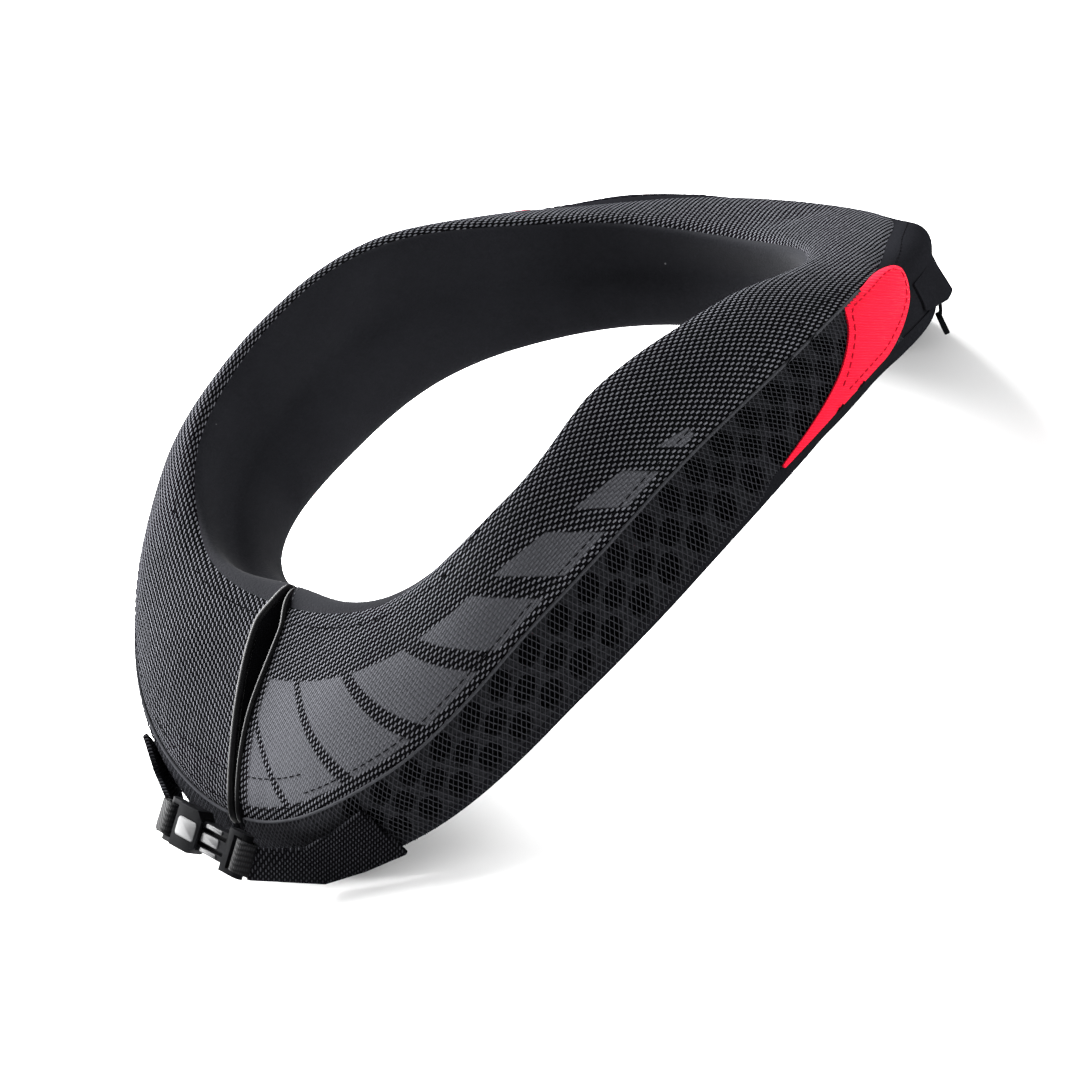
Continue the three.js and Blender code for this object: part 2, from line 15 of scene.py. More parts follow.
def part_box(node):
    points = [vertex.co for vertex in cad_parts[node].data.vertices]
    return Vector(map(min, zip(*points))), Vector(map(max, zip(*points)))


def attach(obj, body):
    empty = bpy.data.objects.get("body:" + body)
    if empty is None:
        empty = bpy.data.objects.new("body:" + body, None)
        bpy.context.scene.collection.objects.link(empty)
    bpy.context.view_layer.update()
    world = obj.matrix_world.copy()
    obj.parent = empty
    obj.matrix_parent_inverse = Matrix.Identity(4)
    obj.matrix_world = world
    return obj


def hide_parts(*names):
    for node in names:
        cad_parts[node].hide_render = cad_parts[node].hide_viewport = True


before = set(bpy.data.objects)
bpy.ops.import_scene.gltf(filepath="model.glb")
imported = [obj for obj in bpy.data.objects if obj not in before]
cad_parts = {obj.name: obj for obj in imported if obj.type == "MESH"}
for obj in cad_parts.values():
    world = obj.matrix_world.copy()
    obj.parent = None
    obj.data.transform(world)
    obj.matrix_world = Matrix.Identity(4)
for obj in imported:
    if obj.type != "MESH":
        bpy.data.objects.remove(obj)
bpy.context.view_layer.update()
LOG = logging.getLogger("collar")
MM = 0.001
BODY = "root"
SEED = 7
REAR_SET_BACK = 2.8

Pair = tuple[float, float]


class Side(Enum):
    """The wearer's two sides, by the sign of X."""

    LEFT = 1
    RIGHT = -1

    @property
    def word(self) -> str:
        """The side's plain name."""
        return self.name.lower()


class Coords(Enum):
    """Where a cloth's pattern takes its place from."""

    UNROLLED = "unrolled"
    FRONT = "front"


@dataclass(frozen=True)
class SectionRow:
    """One section of the collar, as pairs of out from the neck's axis and up, in millimetres."""

    inner: Pair
    ridge: Pair
    seam: Pair
    hem: Pair
    foot: Pair
    liner: float
    top: float
    crown: float


SECTIONS = (
    SectionRow((66, 44), (77, 66.5), (131, 19), (130, -2), (115, -2), 3.5, 0, 6.5),
    SectionRow((72, 45), (87.5, 70), (129.5, 36.5), (127.5, 11), (117, 13.5), 1.5, 0, 5.5),
    SectionRow((77, 44), (90.5, 88), (118, 64), (119.5, 34.5), (112, 34.5), -2.5, 0, 4),
    SectionRow((78, 44), (84.5, 98.5), (111.5, 75.5), (121.5, 51.2), (114, 49.5), -1.5, 0, 4),
    SectionRow((89, 43), (98.5, 92.5), (126, 77), (132, 52.5), (126, 49.5), 0.5, 1, 3.5),
    SectionRow((106, 31), (117.5, 67.5), (151.5, 53.5), (148, 31), (142, 28.5), 0, -8, 1.5),
    SectionRow((114, 21), (121, 53), (164.5, 35.5), (152, -5), (139, -5), 1.5, -1, 2.5),
)


def cubic(start: float, end: float, leave: float, arrive: float) -> tuple[float, ...]:
    """Coefficients of a cubic from its ends and its slopes there.

    Args:
        start: Value at 0.
        end: Value at 1.
        leave: Slope at 0.
        arrive: Slope at 1.

    Returns:
        The four coefficients, lowest power first.
    """
    return (start, leave, 3 * (end - start) - 2 * leave - arrive, 2 * (start - end) + leave + arrive)


def at(coefficients: Sequence[float], t: float) -> float:
    """The cubic's value at t."""
    a, b, c, d = coefficients
    return a + t * (b + t * (c + t * d))


def through(knots: Sequence[Sequence[float]], t: float) -> tuple[float, ...]:
    """A point between the middle two of four knots, on a smooth curve through them."""
    return tuple(at(cubic(b, c, (c - a) / 2, (d - b) / 2), t) for a, b, c, d in zip(*knots))


def bell(value: float, middle: float, width: float) -> float:
    """A smooth hump, 1 at its middle."""
    return math.exp(-(((value - middle) / width) ** 2))


def scaled(colour: Sequence[float], by: float) -> tuple[float, ...]:
    """A colour made lighter or darker."""
    return tuple(c * by for c in colour)


def grid_faces(rows: int, across: int, start: int = 0) -> list[tuple[int, ...]]:
    """Four-sided faces over a grid of points, row by row."""
    wide = across + 1
    corners = [start + r * wide + c for r in range(rows) for c in range(across)]
    return [(a, a + 1, a + wide + 1, a + wide) for a in corners]


class Section:
    """One section's outline, with places counted by its control points from the liner's foot."""

    RIDGE, SEAM, HEM, COUNT = 3, 5, 7, 10
    PROBE = 0.02
    FOOT_LAP = 6.0
    HEM_LAP = 3.0

    def __init__(self, points: Sequence[Pair], laps: Pair) -> None:
        """Lays a smooth closed curve through the section's points.

        Args:
            points: The control points, out and up.
            laps: How far past the ridge the liner ends, and past the seam the top panel.
        """
        self.spans = [self._span(points, i) for i in range(self.COUNT)]
        self.liner_top = self.moved(self.RIDGE, laps[0])
        self.top_edge = self.moved(self.SEAM, laps[1])
        self.hem_seam = self.moved(self.HEM, -self.HEM_LAP)
        self.liner_foot = self.moved(self.COUNT, -self.FOOT_LAP)

    def _span(self, points: Sequence[Pair], i: int) -> list[tuple[float, ...]]:
        """Coefficients of out and of up on the span after a control point."""
        p = [points[(i + k - 1) % self.COUNT] for k in range(4)]
        gaps = [math.dist(p[k], p[k + 1]) ** 0.5 for k in range(3)]
        spans = []
        for axis in (0, 1):
            x = [q[axis] for q in p]
            leave = (x[1] - x[0]) / gaps[0] - (x[2] - x[0]) / (gaps[0] + gaps[1]) + (x[2] - x[1]) / gaps[1]
            arrive = (x[2] - x[1]) / gaps[1] - (x[3] - x[1]) / (gaps[1] + gaps[2]) + (x[3] - x[2]) / gaps[2]
            spans.append(cubic(x[1], x[2], leave * gaps[1], arrive * gaps[1]))
        return spans

    def point(self, place: float) -> Pair:
        """The outline at a place, flat where the cloth rests on the surface."""
        place %= self.COUNT
        i = min(int(place), self.COUNT - 1)
        out, up = self.spans[i]
        return at(out, place - i), max(at(up, place - i), 0.0)

    def along(self, place: float) -> Pair:
        """A short step along the outline at a place."""
        a, b = self.point(place - self.PROBE), self.point(place + self.PROBE)
        return b[0] - a[0], b[1] - a[1]

    def moved(self, place: float, distance: float) -> float:
        """The place so many millimetres further along the outline."""
        return place + distance * 2 * self.PROBE / math.hypot(*self.along(place))

    def over(self, place: float, height: float) -> Pair:
        """A point at a height over the outline, or under it where negative."""
        out, up = self.point(place)
        dx, dy = self.along(place)
        size = math.hypot(dx, dy)
        return out - height * dy / size, up + height * dx / size

    def side(self, share: float) -> float:
        """The place at a share of the way down the side face."""
        return self.top_edge + share * (self.hem_seam - self.top_edge)


@dataclass
class CollarForm:
    """The collar's outer surface, by turn from the slit and place round a section."""

    slit_shut: float = 0.8
    slit_gape: float = 5.4
    slit_at: float = 91.0
    slit_span_in: float = 7.0
    slit_span_out: float = 20.0
    neck_roll: Pair = (0.3, 3.0)
    neck_crease: Pair = (0.62, -1.0)
    crown_share: float = 0.5
    side_crown: Pair = (0.5, 2.5)
    foot_flat: Pair = (0.55, 0.0)
    shift: float = 0.0
    kept: dict[float, Section] = field(default_factory=dict)

    def settle(self) -> None:
        """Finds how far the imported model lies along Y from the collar's own axis."""
        section = self.section(0)
        places = [section.COUNT * i / 400 for i in range(400)]
        out = max(section.point(place)[0] for place in places)
        self.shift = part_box("slit_facing_left")[0].y / MM + out

    def _line(self, turn: float, pick: Callable[[SectionRow], Pair]) -> Pair:
        """A value between the rows of the section table, out and up."""
        rows = [*SECTIONS, *SECTIONS[-2:0:-1]]
        where = turn / 360 * len(rows)
        i = int(where)
        return through([pick(rows[(i + k - 1) % len(rows)]) for k in range(4)], where - i)

    def section(self, turn: float) -> Section:
        """The section at a turn, made once."""
        if turn not in self.kept:
            corners = [self._line(turn, pick) for pick in (
                lambda r: r.inner, lambda r: r.ridge, lambda r: r.seam, lambda r: r.hem, lambda r: r.foot)]
            inner, ridge, seam, hem, foot = corners
            crown, _ = self._line(turn, lambda r: (r.crown, 0.0))
            points = [inner, self._raised(inner, ridge, *self.neck_roll), self._raised(inner, ridge, *self.neck_crease),
                      ridge, self._raised(ridge, seam, self.crown_share, crown), seam,
                      self._raised(seam, hem, *self.side_crown), hem, foot, self._raised(foot, inner, *self.foot_flat)]
            self.kept[turn] = Section(points, self._line(turn, lambda r: (r.liner, r.top)))
        return self.kept[turn]

    @staticmethod
    def _raised(a: Pair, b: Pair, share: float, rise: float) -> Pair:
        """A point part of the way along a face, raised out of the section."""
        dx, dy = b[0] - a[0], b[1] - a[1]
        size = math.hypot(dx, dy)
        return a[0] + share * dx - rise * dy / size, a[1] + share * dy + rise * dx / size

    def angle(self, out: float, turn: float, set_back: float) -> float:
        """The angle about the neck's axis, set back from the slit at the front."""
        away = (out - self.slit_at) / (self.slit_span_in if out < self.slit_at else self.slit_span_out)
        half = self.slit_shut + (self.slit_gape - self.slit_shut) * math.exp(-away * away)
        start = math.asin((half + set_back) / out)
        return start + (math.pi - start) * turn / 180

    def stand(self, point: Pair, turn: float, side: Side, set_back: float) -> Vector:
        """Where a section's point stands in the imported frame, in metres.

        Args:
            point: Out and up, in millimetres.
            turn: Degrees from the slit.
            side: Which side of the collar.
            set_back: How far the front end stands back from the slit's lip.

        Returns:
            The point in metres.
        """
        angle = self.angle(point[0], turn, set_back)
        x, y = side.value * point[0] * math.sin(angle), -point[0] * math.cos(angle)
        return Vector((x, y + self.shift, point[1])) * MM

    def on(self, turn: float, side: Side, place: float, height: float, set_back: float = 1.0) -> Vector:
        """A point of the surface at a height over it, in metres."""
        return self.stand(self.section(turn).over(place, height), turn, side, set_back)


FORM = CollarForm()
FORM.settle()


class Bench:
    """Small modelling steps on Blender's own operators."""

    @staticmethod
    def clear() -> None:
        """Leaves edit mode and deselects everything."""
        if bpy.context.object and bpy.context.object.mode != "OBJECT":
            bpy.ops.object.mode_set(mode="OBJECT")
        bpy.ops.object.select_all(action="DESELECT")

    @classmethod
    def take(cls, piece: bpy.types.Object) -> bpy.types.Object:
        """Selects one object alone and makes it active."""
        cls.clear()
        piece.select_set(True)
        bpy.context.view_layer.objects.active = piece
        return piece

    @classmethod
    def new(cls, name: str, points: Sequence[Vector], faces: Sequence[Sequence[int]]) -> bpy.types.Object:
        """A mesh object from points and faces, at the origin."""
        mesh = bpy.data.meshes.new(name)
        mesh.from_pydata([tuple(p) for p in points], [], [tuple(f) for f in faces])
        mesh.validate()
        piece = bpy.data.objects.new(name, mesh)
        bpy.context.scene.collection.objects.link(piece)
        return piece

    @classmethod
    def finish(cls, piece: bpy.types.Object, kind: str, **settings: object) -> None:
        """Adds a modifier with its settings and applies it."""
        cls.take(piece)
        modifier = piece.modifiers.new(kind.lower(), kind)
        for name, value in settings.items():
            setattr(modifier, name, value)
        bpy.ops.object.modifier_apply(modifier=modifier.name)

    @classmethod
    def smooth(cls, piece: bpy.types.Object, angle: float = 50) -> None:
        """Shades a piece smooth below an edge angle in degrees."""
        cls.take(piece)
        bpy.ops.object.shade_smooth_by_angle(angle=math.radians(angle))

    @classmethod
    def copy(cls, node: str, name: str) -> bpy.types.Object:
        """A copy of a CAD node with its own merged mesh, as four-sided faces where it can be."""
        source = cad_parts[node]
        piece = bpy.data.objects.new(name, source.data.copy())
        bpy.context.scene.collection.objects.link(piece)
        piece.data.materials.clear()
        with cls.editing(piece):
            bpy.ops.mesh.remove_doubles(threshold=0.00002)
            bpy.ops.mesh.tris_convert_to_quads(face_threshold=math.radians(30), shape_threshold=math.radians(60))
        return piece

    @classmethod
    @contextmanager
    def editing(cls, piece: bpy.types.Object) -> Iterator[None]:
        """Edit mode with all of a piece selected."""
        cls.take(piece)
        bpy.ops.object.mode_set(mode="EDIT")
        bpy.ops.mesh.select_all(action="SELECT")
        yield
        bpy.ops.object.mode_set(mode="OBJECT")

    @classmethod
    def outward(cls, piece: bpy.types.Object) -> None:
        """Turns a closed piece's faces outwards."""
        with cls.editing(piece):
            bpy.ops.mesh.normals_make_consistent(inside=False)

    @classmethod
    def bevel(cls, piece: bpy.types.Object, width: float, segments: int, angle: float) -> None:
        """Rounds edges sharper than an angle in degrees, by a width in millimetres."""
        cls.finish(piece, "BEVEL", width=width * MM, segments=segments, limit_method="ANGLE",
                   angle_limit=math.radians(angle))

    @staticmethod
    def tree(piece: bpy.types.Object) -> BVHTree:
        """A piece's faces as a search tree."""
        mesh = piece.data
        return BVHTree.FromPolygons([v.co for v in mesh.vertices], [tuple(p.vertices) for p in mesh.polygons])

    @staticmethod
    def above_floor(piece: bpy.types.Object) -> None:
        """Lifts any point below the floor up to it."""
        for vertex in piece.data.vertices:
            vertex.co.z = max(vertex.co.z, 0.0)

    @staticmethod
    def give_map(piece: bpy.types.Object, name: str, spots: Sequence[Pair]) -> None:
        """Gives a mesh a flat map with one spot a point, for a pattern to be drawn on."""
        layer = piece.data.uv_layers.new(name=name)
        for loop in piece.data.loops:
            layer.data[loop.index].uv = spots[loop.vertex_index]

    @staticmethod
    def tube(points: list[Vector], faces: list[tuple[int, ...]], sides: int, rings: Sequence[tuple]) -> None:
        """Adds a closed tube through rings of points.

        Args:
            points: The mesh's points, added to.
            faces: The mesh's faces, added to.
            sides: How many points a ring has.
            rings: Each ring's middle, two axes across it and radius in metres.
        """
        base = len(points)
        turns = [2 * math.pi * k / sides for k in range(sides)]
        for middle, side, other, radius in rings:
            points.extend(middle + (side * math.cos(t) + other * math.sin(t)) * radius for t in turns)
        last = base + (len(rings) - 1) * sides
        for ring in range(base, last, sides):
            for k in range(sides):
                a, b = ring + k, ring + (k + 1) % sides
                faces.append((a, b, b + sides, a + sides))
        faces.append(tuple(base + k for k in reversed(range(sides))))
        faces.append(tuple(last + k for k in range(sides)))

    @staticmethod
    def hand_over(piece: bpy.types.Object, material: bpy.types.Material, slot: str, *nodes: str) -> None:
        """Dresses a piece, sets it on the collar and hides the solids it stands for."""
        piece.data.materials.clear()
        piece.data.materials.append(material)
        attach(piece, BODY)
        if nodes:
            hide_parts(*nodes)
        LOG.info("%s: %d faces", piece.name, len(piece.data.polygons))


class Value:
    """A shader value that ordinary arithmetic works on."""

    def __init__(self, shade: "Shade", socket: bpy.types.NodeSocket) -> None:
        """Wraps one output socket of a material."""
        self.shade, self.socket = shade, socket

    def _math(self, operation: str, *others: object) -> "Value":
        """A Math node on this value and others."""
        return self.shade.node("ShaderNodeMath", {"operation": operation}, dict(enumerate((self, *others))))

    def __add__(self, other: object) -> "Value":
        """Sum."""
        return self._math("ADD", other)

    __radd__ = __add__

    def __sub__(self, other: object) -> "Value":
        """Difference."""
        return self._math("SUBTRACT", other)

    def __rsub__(self, other: float) -> "Value":
        """Difference from a number."""
        return self._math("MULTIPLY_ADD", -1.0, other)

    def __mul__(self, other: object) -> "Value":
        """Product."""
        return self._math("MULTIPLY", other)

    __rmul__ = __mul__

    def __abs__(self) -> "Value":
        """Size without sign."""
        return self._math("ABSOLUTE")

    def __pow__(self, other: float) -> "Value":
        """Power."""
        return self._math("POWER", other)

    def sine(self) -> "Value":
        """Sine of the value in radians."""
        return self._math("SINE")

    def part(self) -> "Value":
        """The part past the whole number."""
        return self._math("FRACT")

    def whole(self) -> "Value":
        """The whole number below."""
        return self._math("FLOOR")

    def most(self, other: object) -> "Value":
        """The larger of two."""
        return self._math("MAXIMUM", other)

    def ramp(self, low: float, high: float) -> "Value":
        """A smooth step from 0 at low to 1 at high."""
        settings = {"interpolation_type": "SMOOTHSTEP", "clamp": True}
        return self.shade.node("ShaderNodeMapRange", settings, {0: self, 1: low, 2: high})


class Shade:
    """One procedural material under construction."""

    def __init__(self, name: str) -> None:
        """Starts a material with a single surface shader."""
        self.material = bpy.data.materials.new(name)
        self.material.use_nodes = True
        self.tree = self.material.node_tree
        self.shader = next(n for n in self.tree.nodes if n.type == "BSDF_PRINCIPLED")

    def node(self, kind: str, settings: dict, inputs: dict, output: object = 0) -> Value:
        """Adds a node.

        Args:
            kind: The node's type.
            settings: Properties set before its sockets.
            inputs: Numbers, colours or values for its sockets, by name or number.
            output: Name or number of the socket to hand back.

        Returns:
            The output, ready for arithmetic.
        """
        made = self.tree.nodes.new(kind)
        for name, value in settings.items():
            setattr(made, name, value)
        for key, value in inputs.items():
            self.link(made.inputs[key], value)
        return Value(self, made.outputs[output])

    def link(self, socket: bpy.types.NodeSocket, value: object) -> None:
        """Sets a socket to a number, or links a value to it."""
        if isinstance(value, Value):
            self.tree.links.new(value.socket, socket)
        else:
            socket.default_value = value

    def set(self, **inputs: object) -> "Shade":
        """Sets the shader's sockets, with _ for the spaces in their names."""
        for name, value in inputs.items():
            self.link(self.shader.inputs[name.replace("_", " ")], value)
        return self

    def axes(self, vector: Value) -> tuple[Value, Value, Value]:
        """A vector's three values."""
        parts = self.node("ShaderNodeSeparateXYZ", {}, {0: vector})
        outputs = parts.socket.node.outputs
        return tuple(Value(self, outputs[i]) for i in range(3))

    def object_place(self) -> Value:
        """The point on the object, in metres."""
        return self.node("ShaderNodeTexCoord", {}, {}, "Object")

    def map(self, name: str) -> Value:
        """A point of one of the piece's own flat maps."""
        return self.node("ShaderNodeUVMap", {"uv_map": name}, {})

    def grain(self, vector: Value, scale: float, detail: float = 3.0) -> Value:
        """Soft noise from 0 to 1, at a number of blotches a metre."""
        return self.node("ShaderNodeTexNoise", {}, {"Vector": vector, "Scale": scale, "Detail": detail})

    def mix(self, factor: object, low: object, high: object) -> Value:
        """A colour between two colours or values."""
        low, high = (c if isinstance(c, Value) else (*c, 1.0) for c in (low, high))
        return self.node("ShaderNodeMix", {"data_type": "RGBA"}, {0: factor, 6: low, 7: high}, 2)

    def bump(self, height: Value, distance: float, strength: float = 1.0) -> Value:
        """A normal roughened by a height from 0 to 1 over a distance in metres."""
        return self.node("ShaderNodeBump", {}, {"Height": height, "Distance": distance, "Strength": strength})


@dataclass(frozen=True)
class Woven:
    """Coarse weave of grey warp floats over black weft, with printed slanted bars on the left front."""

    name: str = "woven_cloth"
    coords: Coords = Coords.UNROLLED
    wide: float = 0.97
    long: float = 1.5
    dark: tuple = (0.0004, 0.0004, 0.0005)
    weft: tuple = (0.0028, 0.0029, 0.0034)
    warp: tuple = (0.126, 0.128, 0.143)
    ink: tuple = (0.06, 0.061, 0.068)
    printed: bool = False

    def material(self) -> bpy.types.Material:
        """Builds the cloth's material."""
        shade = Shade(self.name)
        place = shade.object_place()
        if self.coords is Coords.UNROLLED:
            across, along, _ = shade.axes(shade.map("weave"))
        else:
            x, y, z = shade.axes(place)
            round_side = abs(x) * 0.66 + y * 0.75
            across, along = round_side - z * 0.5, z + round_side * 0.5
        wobble = shade.grain(place, 90.0, 2.0) * 0.5
        u = across * (1 / (self.wide * MM)) + wobble
        v = along * (1 / (self.long * MM)) + wobble
        odd = ((u.whole() + v.whole()) * 0.5).part().ramp(0.2, 0.3)
        arch_u = (u.part() * math.pi).sine()
        arch_v = (v.part() * math.pi).sine()
        over = (1 - odd) * arch_u * (0.72 + 0.28 * arch_v)
        under = odd * (arch_v ** 0.7) * (0.5 + 0.5 * arch_u)
        fray = shade.grain(place, 700.0, 1.0).ramp(0.25, 0.75)
        worn = shade.grain(place, 26.0, 3.0).ramp(0.2, 0.8)
        cloth = shade.mix(under.ramp(0.1, 0.8), self.dark, self.weft)
        cloth = shade.mix(over.ramp(0.3, 0.9) * (0.55 + 0.28 * fray + 0.17 * worn), cloth, self.warp)
        if self.printed:
            cover = 0.62 + 0.38 * over.most(under).ramp(0.05, 0.5)
            cloth = shade.mix(self._bars(shade) * cover * (0.75 + 0.25 * worn), cloth, self.ink)
        shade.set(Base_Color=cloth, Roughness=0.6 + 0.2 * fray, Normal=shade.bump(over.most(under), 0.0004, 0.8))
        shade.set(Specular_IOR_Level=0.0)
        return shade.material

    @staticmethod
    def _bars(shade: Shade) -> Value:
        """A tapering band of slanted bars that thin out towards the back."""
        turn, share, _ = shade.axes(shade.map("place"))
        w = (turn * 180 - 1.5) * (1 / 92)
        low = 0.93 - 0.02 * w
        high = 0.34 + 0.5 * (w * w)
        inside = (low - share).ramp(-0.006, 0.006) * (share - high).ramp(-0.006, 0.006)
        inside = inside * w.ramp(0.0, 0.01) * (1 - w).ramp(0.0, 0.01)
        bar = (w * 7.0 - share * 1.9).part()
        keep = bar.ramp(0.02, 0.06) * (0.94 - 0.36 * w - bar).ramp(-0.02, 0.02)
        return inside * keep


@dataclass(frozen=True)
class Knit:
    """Matte soft knit with a fine grain and a few pale lint specks."""

    name: str
    colour: tuple = (0.0098, 0.0102, 0.0122)
    lint: float = 0.0
    roughness: float = 0.85
    sheen: float = 0.03

    def material(self) -> bpy.types.Material:
        """Builds the cloth's material."""
        shade = Shade(self.name)
        place = shade.object_place()
        fine = shade.grain(place, 1500.0, 2.0)
        broad = shade.grain(place, 45.0, 3.0)
        base = scaled(self.colour, 0.6)
        pale = scaled(self.colour, 1.5)
        tone = shade.mix(fine * 0.55 + broad * 0.45, base, pale)
        if self.lint:
            cells = {"Vector": place, "Scale": 150.0, "Randomness": 1.0}
            spots = shade.node("ShaderNodeTexVoronoi", {"feature": "F1"}, cells)
            chance, _, _ = shade.axes(shade.node("ShaderNodeTexVoronoi", {"feature": "F1"}, cells, "Color"))
            speck = (1 - spots.ramp(0.03, 0.07)) * chance.ramp(0.8, 0.85)
            tone = shade.mix(speck * self.lint, tone, (0.2, 0.2, 0.21))
        shade.set(Base_Color=tone, Roughness=self.roughness + 0.1 * fine,
                  Normal=shade.bump(fine * 0.6 + broad * 0.4, 0.0006, 0.5))
        shade.set(Sheen_Weight=self.sheen, Sheen_Roughness=0.5, Specular_IOR_Level=0.0)
        return shade.material


@dataclass(frozen=True)
class Twill:
    """Red twill with fine diagonal ribs."""

    name: str = "red_twill"
    colour: tuple = (0.76, 0.011, 0.034)
    rib: float = 1.0

    def material(self) -> bpy.types.Material:
        """Builds the cloth's material."""
        shade = Shade(self.name)
        place = shade.object_place()
        x, y, z = shade.axes(place)
        ribs = ((y * 0.8 + z) * (1 / (self.rib * MM))).part()
        cross = ((y - z * 0.8 - x * 0.4) * (1.3 / (self.rib * MM))).part()
        height = (ribs * math.pi).sine() * (0.7 + 0.3 * (cross * math.pi).sine())
        worn = shade.grain(place, 120.0, 4.0)
        deep = scaled(self.colour, 0.68)
        tone = shade.mix(height * 0.8 + worn * 0.2, deep, self.colour)
        shade.set(Base_Color=tone, Roughness=0.55 + 0.2 * worn, Normal=shade.bump(height, 0.0003, 0.7))
        shade.set(Specular_IOR_Level=0.02)
        return shade.material


@dataclass(frozen=True)
class Moulded:
    """Smooth moulded black plastic or cord, with faint scuffs."""

    name: str
    colour: tuple = (0.003, 0.0031, 0.0035)
    roughness: float = 0.33
    gloss: float = 0.012

    def material(self) -> bpy.types.Material:
        """Builds the plastic's material."""
        shade = Shade(self.name)
        place = shade.object_place()
        scuff = shade.grain(place, 240.0, 5.0)
        fine = shade.grain(place, 2600.0, 2.0)
        tone = shade.mix(scuff.ramp(0.35, 0.8), self.colour, scaled(self.colour, 1.9))
        shade.set(Base_Color=tone, Roughness=self.roughness + 0.12 * scuff,
                  Normal=shade.bump(fine * 0.5 + scuff * 0.5, 0.00008, 0.5))
        shade.set(Specular_IOR_Level=self.gloss)
        return shade.material


@dataclass(frozen=True)
class Foam:
    """Open-cell foam, dark and matte."""

    name: str
    colour: tuple = (0.012, 0.0125, 0.014)

    def material(self) -> bpy.types.Material:
        """Builds the foam's material."""
        shade = Shade(self.name)
        place = shade.object_place()
        cells = shade.node("ShaderNodeTexVoronoi", {"feature": "F1"}, {"Vector": place, "Scale": 900.0})
        soft = shade.grain(place, 60.0)
        tone = shade.mix(cells.ramp(0.1, 0.7) * 0.7 + soft * 0.3, scaled(self.colour, 0.45),
                         scaled(self.colour, 1.4))
        shade.set(Base_Color=tone, Roughness=0.85 + 0.1 * soft, Normal=shade.bump(cells, 0.0005, 0.6))
        shade.set(Specular_IOR_Level=0.0)
        return shade.material


@dataclass(frozen=True)
class Thread:
    """Twisted sewing or net thread."""

    name: str
    colour: tuple
    roughness: float = 0.6

    def material(self) -> bpy.types.Material:
        """Builds the thread's material."""
        shade = Shade(self.name)
        place = shade.object_place()
        x, y, z = shade.axes(place)
        twist = (((x + y + z) * 2600.0).part() * math.pi).sine()
        soft = shade.grain(place, 300.0, 2.0)
        tone = shade.mix(twist * 0.5 + soft * 0.5, scaled(self.colour, 0.5), self.colour)
        shade.set(Base_Color=tone, Roughness=self.roughness + 0.1 * soft, Normal=shade.bump(twist, 0.0001, 0.5))
        shade.set(Specular_IOR_Level=0.0)
        return shade.material


@dataclass(frozen=True)
class Webbing:
    """Flat ribbed strap webbing."""

    name: str = "strap_webbing"
    colour: tuple = (0.0017, 0.0018, 0.0021)
    rib: float = 1.1

    def material(self) -> bpy.types.Material:
        """Builds the webbing's material."""
        shade = Shade(self.name)
        place = shade.object_place()
        x, _, z = shade.axes(place)
        ribs = ((z + x * 0.23) * (1 / (self.rib * MM))).part()
        pick = ((x - z * 0.23) * (1 / (0.8 * MM))).part()
        height = (ribs * math.pi).sine() * (0.6 + 0.4 * (pick * math.pi).sine())
        tone = shade.mix(height, scaled(self.colour, 0.4), scaled(self.colour, 2.2))
        shade.set(Base_Color=tone, Roughness=0.45 + 0.2 * (1 - height), Normal=shade.bump(height, 0.0004, 0.7))
        shade.set(Specular_IOR_Level=0.02)
        return shade.material


@dataclass(frozen=True)
class Swelling:
    """How far cloth swells over the foam under it."""

    pressure: float = 4.0
    frames: int = 20
    cap: float = 1.6
    quality: int = 5
    stiffness: float = 25.0
    bending: float = 2.0

    def swell(self, piece: bpy.types.Object, held: Iterable[int]) -> None:
        """Blows a sheet up between its held edges by cloth simulation, then keeps the result.

        Args:
            piece: The sheet, its faces turned outwards.
            held: The points that its seams hold.
        """
        rest = [v.co.copy() for v in piece.data.vertices]
        group = piece.vertex_groups.new(name="seams")
        group.add(list(held), 1.0, "REPLACE")
        Bench.take(piece)
        modifier = piece.modifiers.new("swell", "CLOTH")
        settings = modifier.settings
        settings.quality = self.quality
        settings.use_pressure = True
        settings.uniform_pressure_force = self.pressure
        settings.vertex_group_mass = group.name
        settings.effector_weights.gravity = 0
        settings.tension_stiffness = settings.compression_stiffness = self.stiffness
        settings.bending_stiffness = self.bending
        modifier.collision_settings.use_collision = False
        modifier.point_cache.frame_start = 1
        modifier.point_cache.frame_end = self.frames
        scene = bpy.context.scene
        for step in range(1, self.frames + 1):
            scene.frame_set(step)
        blown = piece.evaluated_get(bpy.context.evaluated_depsgraph_get())
        moved = [v.co.copy() for v in blown.data.vertices]
        piece.modifiers.remove(modifier)
        scene.frame_set(1)
        for vertex, was, now in zip(piece.data.vertices, rest, moved):
            step = now - was
            if step.length > self.cap * MM:
                step *= self.cap * MM / step.length
            vertex.co = was + step
        piece.vertex_groups.clear()
        piece.data.update()


